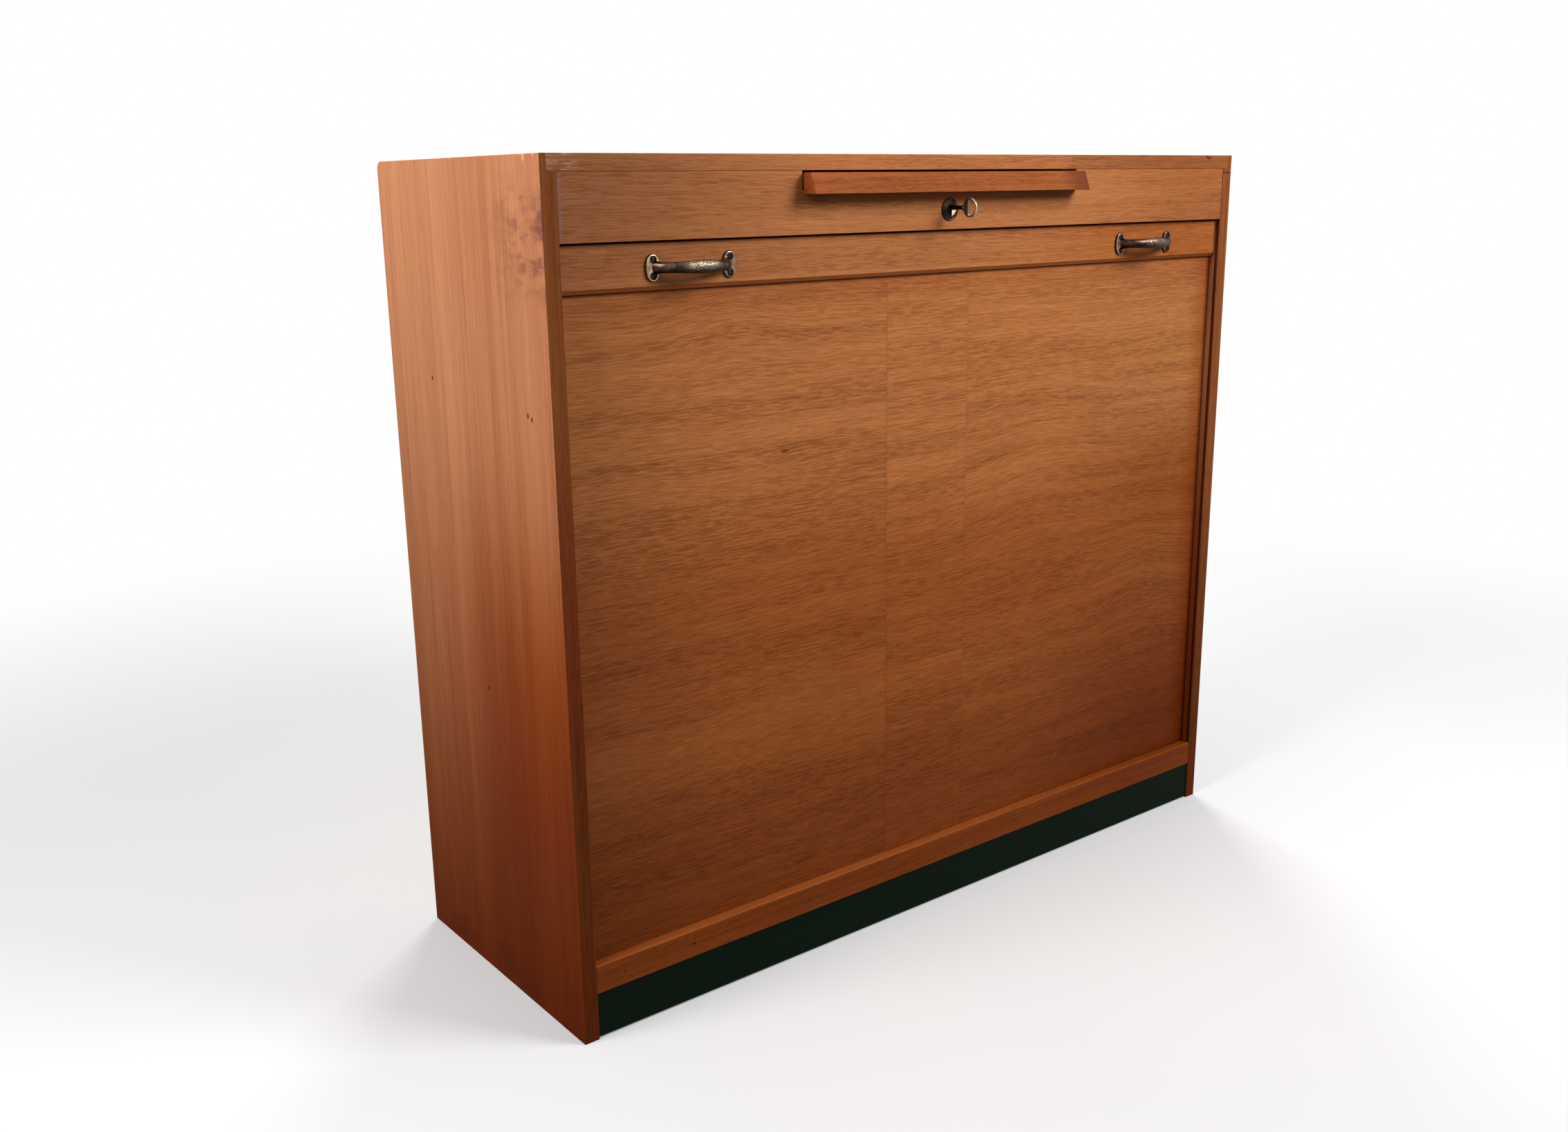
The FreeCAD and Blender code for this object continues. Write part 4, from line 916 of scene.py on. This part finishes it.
HANDLE_METAL = handle_metal()
for hand, middle_x in (("left", -HANDLE_X), ("right", HANDLE_X)):
    bow = new_piece(f"{hand}_bow_handle", bow_handle(f"{hand}_bow_handle", middle_x),
                    HANDLE_METAL, "tambour")
    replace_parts(bow, f"{hand}_handle")


# Screws

# How each screw's slot is turned, in radians: the first one's, and what each further one adds
FIRST_TURN, NEXT_TURN = 1.1, 2.399


def slotted_screw(name):
    """A countersunk screw that points along +Y from the origin, with its slot across."""
    head = SCREW_HEAD_RADIUS
    profile = [(-0.25 * MM, 0.6 * head), (-0.15 * MM, 0.86 * head), (0, head), (0.3 * MM, head),
               (2.2 * MM, SHANK_RADIUS), (12 * MM, SHANK_RADIUS), (14 * MM, 0.3 * MM)]
    blank = formed(name, (add_lathe, profile, 0, 0, 24))
    slot = oblong(-1 * MM, 0.9 * MM, -0.45 * MM, 0.45 * MM)
    return carved(blank, name, formed("slot", (add_bar, slot, -2 * head, 2 * head)))


def screw_set(name, places, facing, material, body, node):
    """One mesh of screws at (x, y, z) places, each with its slot turned differently."""
    pattern = slotted_screw(f"{name}_pattern")
    work = bmesh.new()
    for i, place in enumerate(places):
        turn = Matrix.Rotation(FIRST_TURN + NEXT_TURN * i, 4, "Y")
        before = len(work.verts)
        work.from_mesh(pattern)
        work.verts.ensure_lookup_table()
        bmesh.ops.transform(work, matrix=Matrix.Translation(place) @ facing @ turn,
                            verts=work.verts[before:])
    bpy.data.meshes.remove(pattern)
    screws = new_piece(name, to_mesh(work, name), material, body)
    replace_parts(screws, node)


def solid_centres(node):
    """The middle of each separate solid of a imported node, from its own mesh."""
    work = bmesh.new()
    work.from_mesh(nodes[node].data)
    bmesh.ops.remove_doubles(work, verts=work.verts, dist=0.005 * MM)
    waiting = set(work.verts)
    middles = []
    while waiting:
        group, border = set(), [waiting.pop()]
        while border:
            vert = border.pop()
            group.add(vert)
            for edge in vert.link_edges:
                other = edge.other_vert(vert)
                if other in waiting:
                    waiting.remove(other)
                    border.append(other)
        middles.append(sum((v.co for v in group), Vector()) / len(group))
    work.free()
    return sorted(middles, key=lambda place: (round(place.x, 4), round(place.z, 4)))


FROM_FRONT = Matrix.Identity(4)
FROM_BACK = Matrix.Rotation(math.pi, 4, "Z")
SCREW_FACE = FOOT_FACE + 0.7 * MM
BACK_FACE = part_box("back_screws")[1].y
screw_set("handle_slotted_screws",
          [(x, SCREW_FACE, z) for middle_x in (-HANDLE_X, HANDLE_X) for x, z in screw_places(middle_x)],
          FROM_FRONT, SCREW_STEEL, "tambour", "handle_screws")
screw_set("back_slotted_screws",
          [(place.x, BACK_FACE, place.z) for place in solid_centres("back_screws")],
          FROM_BACK, STEEL, "carcass", "back_screws")


# Escutcheon and key

PLATE_Z = (PLATE_LOW.z + PLATE_HIGH.z) / 2 + 0.8 * MM
PLATE_RADIUS = (PLATE_HIGH.x - PLATE_LOW.x) / 2 + 0.6 * MM
# The plate's section: millimetres from its back, and shares of its radius
PLATE_PROFILE = ((0, 1.0), (-0.8, 1.0), (-1.3, 0.975), (-1.55, 0.93), (-1.5, 0.885), (-1.25, 0.855),
                 (-1.3, 0.83), (-1.7, 0.7), (-2.1, 0.48), (-2.35, 0.22), (-2.4, 0.04))
HOLE_RADIUS = 3.8 * MM
SLOT_HALF = 1.7 * MM
SLOT_DROP = 10 * MM
BOW_RADIUS = 12.25 * MM
BOW_ROOT = 9.6 * MM
BOW_WIRE = 2.7 * MM
BOW_HALF_THICKNESS = 1.7 * MM
BOW_SQUARENESS = 0.6
BOW_STEPS, BOW_POINTS = 96, 20
BOW_BACK = KEY_LOW.y + 24 * MM
STEM_RADIUS = 3.4 * MM
# The stem's section: millimetres from three places along it, and shares of its radius
STEM_PROFILE = (
    (BOW_BACK, (-2.5, 0.5), (-0.8, 1.0), (0.6, 1.0), (1.2, 0.9), (1.9, 0.86), (3.5, 0.82)),
    (PLATE_LOW.y, (-4, 0.82), (-3, 0.95), (-1.4, 0.98), (-0.8, 0.9)),
    (KEY_HIGH.y, (-0.4, 0.9), (0, 0.8)))
BIT_LENGTH, BIT_DROP, BIT_HALF = 4.2 * MM, 9 * MM, 1.5 * MM


def escutcheon_plate():
    """Round plate with a rolled rim and a low dome, pierced by the keyhole."""
    name = "escutcheon_plate"
    profile = [(PLATE_HIGH.y + step * MM, share * PLATE_RADIUS) for step, share in PLATE_PROFILE]
    made = formed(name, (add_lathe, profile, 0, PLATE_Z, 64))
    near, far = PLATE_LOW.y - 1 * MM, PLATE_HIGH.y + 1 * MM
    hole = [(near, HOLE_RADIUS), (far, HOLE_RADIUS)]
    slot = oblong(near, far, KEY_AXIS - SLOT_DROP, KEY_AXIS)
    for cutter in (formed("keyhole", (add_lathe, hole, 0, KEY_AXIS, 32)),
                   formed("slot", (add_bar, slot, -SLOT_HALF, SLOT_HALF))):
        made = carved(made, name, cutter)
    made.shade_smooth()
    made.set_sharp_from_angle(angle=math.radians(35))
    return made


def to_limit(centre, step_y, radius, ring_y, flat_y):
    """Distance from a point to a circle cut off by a line, in one direction."""
    offset = centre - ring_y
    along = offset * step_y
    reach = -along + math.sqrt(along ** 2 + radius ** 2 - offset ** 2)
    if step_y > 0:
        reach = min(reach, (flat_y - centre) / step_y)
    return reach


def add_bow(work):
    """Ring bow with a broad straight root: a rounded section carried round its opening."""
    ring_y, root_y = KEY_LOW.y + BOW_RADIUS, BOW_BACK - BOW_ROOT
    centre = (KEY_LOW.y + BOW_WIRE + root_y) / 2
    sections = []
    for step_y, step_z in circle(BOW_STEPS):
        inner = to_limit(centre, step_y, BOW_RADIUS - BOW_WIRE, ring_y, root_y)
        outer = to_limit(centre, step_y, BOW_RADIUS, ring_y, BOW_BACK)
        ring = []
        for spread, lift in circle(BOW_POINTS, BOW_SQUARENESS):
            away = (inner + outer) / 2 + (outer - inner) / 2 * spread
            ring.append((BOW_HALF_THICKNESS * lift, centre + away * step_y, KEY_AXIS + away * step_z))
        sections.append(ring)
    add_loft(work, sections, closed=True)


def door_key():
    """Key with its ring bow, round stem with two turned collars, and bit."""
    stem = [(start + step * MM, share * STEM_RADIUS)
            for start, *steps in STEM_PROFILE for step, share in steps]
    bit = oblong(KEY_HIGH.y - BIT_LENGTH, KEY_HIGH.y, KEY_AXIS - BIT_DROP, KEY_AXIS)
    made = formed("door_key", (add_bow,), (add_lathe, stem, 0, KEY_AXIS, 32),
                  (add_bar, bit, -BIT_HALF, BIT_HALF))
    made.shade_smooth()
    made.set_sharp_from_angle(angle=math.radians(50))
    return made


def dark_stem(m, colour):
    """The key's root is dull, and it is black between its bow and the lock."""
    root = BOW_BACK - BOW_ROOT
    return m.zoned(colour, (paint(84, 70, 62), 0.8, ("y", root - 1.5 * MM, root + 1 * MM)),
                   (paint(34, 25, 20), 0.9, ("y", BOW_BACK - 3 * MM, BOW_BACK - 1 * MM)))


KEY_NICKEL = metal("key_nickel", paint(168, 150, 136), paint(98, 80, 68), 0.22, extra=dark_stem)
plate = new_piece("escutcheon_plate", escutcheon_plate(), DARK_PLATE, "carcass")
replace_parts(plate, "escutcheon")
key = new_piece("door_key", door_key(), KEY_NICKEL, "key")
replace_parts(key, "key")


# Curtain

SLAT_PITCH = 20 * MM
SLAT_GAP = 0.1 * MM
SLAT_ROUND = 0.15 * MM
SLAT_THICKNESS = 9 * MM
SLATS_BACK = SLATS_LOW.y + SLAT_THICKNESS
CANVAS_THICKNESS = 0.8 * MM
THREAD_PITCH = 1.1 * MM
BEND_RADIUS = 60 * MM
TAIL_SLATS = 2

# Joints between the veneer's leaves, and how strongly each shows
LEAF_JOINTS = {-0.095: 0.14, 0.052: 0.06}
JOINT_BLUR = 0.2 * MM
LEAF_STEP = 0.37
# Places where the grain arches, as it does above a branch: x, z, width, height and rise
ARCHES = ((0.20, 0.60, 0.12, 0.12, 0.024), (-0.34, 0.86, 0.07, 0.06, 0.01),
          (0.44, 0.42, 0.10, 0.14, 0.022))
TAMBOUR_KNOT = ((-0.2655, SLATS_LOW.y, 0.6965), 3.4 * MM)
# Painted light and shade over the veneer, as zones with their factors, strength and limits
TAMBOUR_LIGHT_AND_SHADE = (
    ((0.74, 0.54, 0.3), 1.0, ("x", 0.1, 0.5), ("z", 0.62, 0.1)),
    ((1.05, 1.18, 1.36), 1.0, ("z", 0.52, 0.72)),
    ((0.87, 0.8, 0.77), 1.0, ("z", 0.48, 0.03, 0.16), ("x", 0.45, 0.2)),
    ((0.5, 0.5, 0.56), 0.5, ("x", -0.3, -0.6)),
    ((0.87, 0.9, 0.92), 1.0, ("x", 0.1, 0.5)),
    ((0.84, 0.74, 0.6), 1.0, ("z", 0.56, 0.03, 0.13), ("x", 0.2, 0.5)),
    ((0.86, 0.8, 0.72), 1.0, ("z", 0.34, 0.2)),
    ((0.9, 0.83, 0.8), 1.0, ("z", 0.855, 0.9)))


def slat_outline(top):
    """A slat's section below a height, with its front corners just rounded."""
    front, back = SLATS_LOW.y, SLATS_BACK
    high, low = top - SLAT_GAP / 2, top - SLAT_PITCH + SLAT_GAP / 2
    return [(front, low + SLAT_ROUND), (front, high - SLAT_ROUND), (front + SLAT_ROUND, high),
            (back, high), (back, low), (front + SLAT_ROUND, low)]


def hump(m, value, place, width):
    """1 at a place, falling off on both sides like a bell."""
    share = m.sums("DIVIDE", m.sums("SUBTRACT", value, place), width)
    return m.sums("EXPONENT", m.times(share, share, -1.0))


def tambour_wood():
    """One oak veneer over all slats, in leaves, with arched grain, a redder right end, painted light
    and shade, and painted shade below the lead rail and towards the floor.
    """
    m = Material("tambour_veneer")
    rise = 0.0
    for place_x, place_z, width, height, lift in ARCHES:
        arch = m.times(hump(m, m.x, place_x, width), hump(m, m.z, place_z, height), lift)
        rise = m.sums("ADD", rise, arch)
    leaf = 0.0
    for joint in LEAF_JOINTS:
        leaf = m.sums("ADD", leaf, m.within("x", joint - JOINT_BLUR, joint + JOINT_BLUR))
    jump = m.ramp(leaf, LEAF_STEP, m.times(rise, -1.0))
    colour, relief = grain(m, TAMBOUR_OAK, "X", 11, shift=m.joined(z=jump))
    first, end = min(LEAF_JOINTS), SLATS_HIGH.x
    colour = m.tinted(colour, ((0.86, 0.9, 1.0), 0.1, ("x", first + JOINT_BLUR, first - JOINT_BLUR)))
    for joint, show in LEAF_JOINTS.items():
        colour = m.zoned(colour, (TAMBOUR_OAK["pore"], show, ("x", joint, 0.5 * MM, 2.6 * MM)))
    colour = m.zoned(colour, (paint(150, 62, 16), 0.5, ("x", end - 0.06, end - 0.015)))
    colour = m.tinted(colour, *TAMBOUR_LIGHT_AND_SHADE)
    colour = spotted(m, colour, [TAMBOUR_KNOT], DARK_MARK_AND_SHADOW, squash=(0.4, 1, 1), amount=0.65)
    # Painted shadow: a dark line on the slats just below the lead rail.
    colour = m.zoned(colour, (DARK_MARK_AND_SHADOW, 0.65, ("z", RAIL_LOW.z - 5 * MM, RAIL_LOW.z - 1.5 * MM)))
    return lacquered(m, painted_low_shade(m, colour, FRONT_LOW_SHADES), relief, depth=0.12 * MM)


def canvas_cloth():
    """Plain linen canvas with its weave."""
    m = Material("canvas_cloth")
    weave = m.times(*(m.sums("SINE", m.times(place, 2 * math.pi / THREAD_PITCH))
                      for place in (m.x, m.z)))
    dirt = m.noise(16, detail=4.0)
    colour = m.zoned(m.mixed(dirt, paint(188, 176, 148), paint(150, 134, 104)),
                     (paint(112, 98, 74), 0.35, (weave, -1.0, 1.0)))
    m.bumped(weave, 0.12 * MM)
    return m.finish(Base_Color=colour, Roughness=0.85)


def add_slat(work, top, place=Matrix.Identity(4)):
    add_bar(work, slat_outline(top), SLATS_LOW.x, SLATS_HIGH.x, place)


def curtain():
    """Slats on their canvas down to below the sill's top, and a tail that stays on the bend."""
    veneer = tambour_wood()
    drop = RAIL_LOW.z - SILL_HIGH.z
    straight = math.ceil(drop / SLAT_PITCH)
    slats = formed("curtain_slats", *((add_slat, RAIL_LOW.z - i * SLAT_PITCH) for i in range(straight)))
    slats = new_piece("curtain_slats", slats, veneer, "tambour")
    foot = RAIL_LOW.z - straight * SLAT_PITCH
    sheet = oblong(SLATS_BACK, SLATS_BACK + CANVAS_THICKNESS, foot, CANVAS_HIGH.z)
    cloth = formed("curtain_canvas", (add_bar, sheet, CANVAS_LOW.x, CANVAS_HIGH.x))
    cloth = new_piece("curtain_canvas", cloth, canvas_cloth(), "tambour")
    for piece in (slats, cloth):
        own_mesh(piece)

    middle = Vector((0, SLATS_LOW.y + SLAT_THICKNESS / 2 + BEND_RADIUS, SILL_HIGH.z))
    tail = []
    for i in range(straight, straight + TAIL_SLATS):
        past = (i + 0.5) * SLAT_PITCH - drop
        turn = Matrix.Rotation(past / (BEND_RADIUS - SLAT_THICKNESS / 2), 4, "X")
        tail.append((add_slat, SILL_HIGH.z + SLAT_PITCH / 2,
                     Matrix.Translation(middle) @ turn @ Matrix.Translation(-middle)))
    new_piece("curtain_tail", formed("curtain_tail", *tail), veneer, "carcass")
    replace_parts(slats, "tambour_slats")
    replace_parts(cloth, "tambour_canvas")


curtain()


# Floor, light and camera

FLOOR_HALF = 30.0
FADE_START, FADE_END = 0.9, 2.8
FLOOR_GLOW = 0.1
WORLD_LIGHT = 0.3
# Square lamps that aren't seen themselves: place, what they face, size and power
SOFTBOXES = {
    "front_light": ((1.35, -2.15, 2.4), (0.0, 0.0, 0.85), 1.3, 85),
    "left_light": ((-1.9, -0.15, 2.25), (-0.5, 0.0, 0.85), 1.1, 51),
    "back_light": ((1.7, 2.3, 1.9), (0.2, 0.1, 0.6), 1.3, 66),
}
# Camera solved from the cabinet's own edges in the photograph, with its angles in degrees
CAMERA_PLACE = (-1.3755, -1.596, 1.0151)
CAMERA_YAW, CAMERA_PITCH, CAMERA_ROLL = 37.797, -14.488, -0.797
CAMERA_LENS = 33.532


def stage_floor():
    """Pale floor that turns white with distance and throws little light back up."""
    mesh = bpy.data.meshes.new("floor")
    corners = [(x * FLOOR_HALF, y * FLOOR_HALF, 0) for x, y in ((-1, -1), (1, -1), (1, 1), (-1, 1))]
    mesh.from_pydata(corners, [], [(0, 1, 2, 3)])
    floor = added("floor", mesh)
    m = Material("pale_floor")
    cloud = m.noise(1.3, detail=4.0)
    pale = m.mixed(cloud, paint(204, 204, 206), paint(212, 211, 210))
    m.finish(Base_Color=pale, Roughness=0.7, Specular_IOR_Level=0.2, Emission_Color=WHITE,
             Emission_Strength=FLOOR_GLOW)
    dim = m.result("ShaderNodeBsdfDiffuse", paint(84, 84, 86))
    fade = m.picked(m.between(m.length(m.place), FADE_START, FADE_END),
                    m.shader.outputs["BSDF"], m.result("ShaderNodeEmission", WHITE, 1.0))
    m.feed(m.surface, m.picked(m.shown_rays(), dim, fade))
    mesh.materials.append(m.data)


def sky():
    """White background for rays that show it, and dimmer white light from all around."""
    world = bpy.data.worlds.new("studio")
    bpy.context.scene.world = world
    tree = Nodes(world)
    lights = [tree.result("ShaderNodeBackground", WHITE, strength) for strength in (WORLD_LIGHT, 1.0)]
    surface = tree.node("ShaderNodeOutputWorld").inputs["Surface"]
    tree.feed(surface, tree.picked(tree.shown_rays(), *lights))


stage_floor()
sky()
for name, (place, target, size, power) in SOFTBOXES.items():
    lamp = bpy.data.lights.new(name, "AREA")
    lamp.size = size
    lamp.energy = power
    item = added(name, lamp)
    item.location = place
    item.rotation_euler = (Vector(target) - Vector(place)).to_track_quat("-Z", "Y").to_euler()
    item.visible_camera = False

view = bpy.data.cameras.new("photo_camera")
view.sensor_width = 36.0
view.sensor_fit = "HORIZONTAL"
view.lens = CAMERA_LENS
camera = added("photo_camera", view)
camera.matrix_world = Matrix.Translation(CAMERA_PLACE)
for angle, axis in ((-CAMERA_YAW, "Z"), (90 + CAMERA_PITCH, "X"), (CAMERA_ROLL, "Z")):
    camera.matrix_world @= Matrix.Rotation(math.radians(angle), 4, axis)
bpy.context.scene.camera = camera
bpy.context.scene.view_settings.view_transform = "Standard"
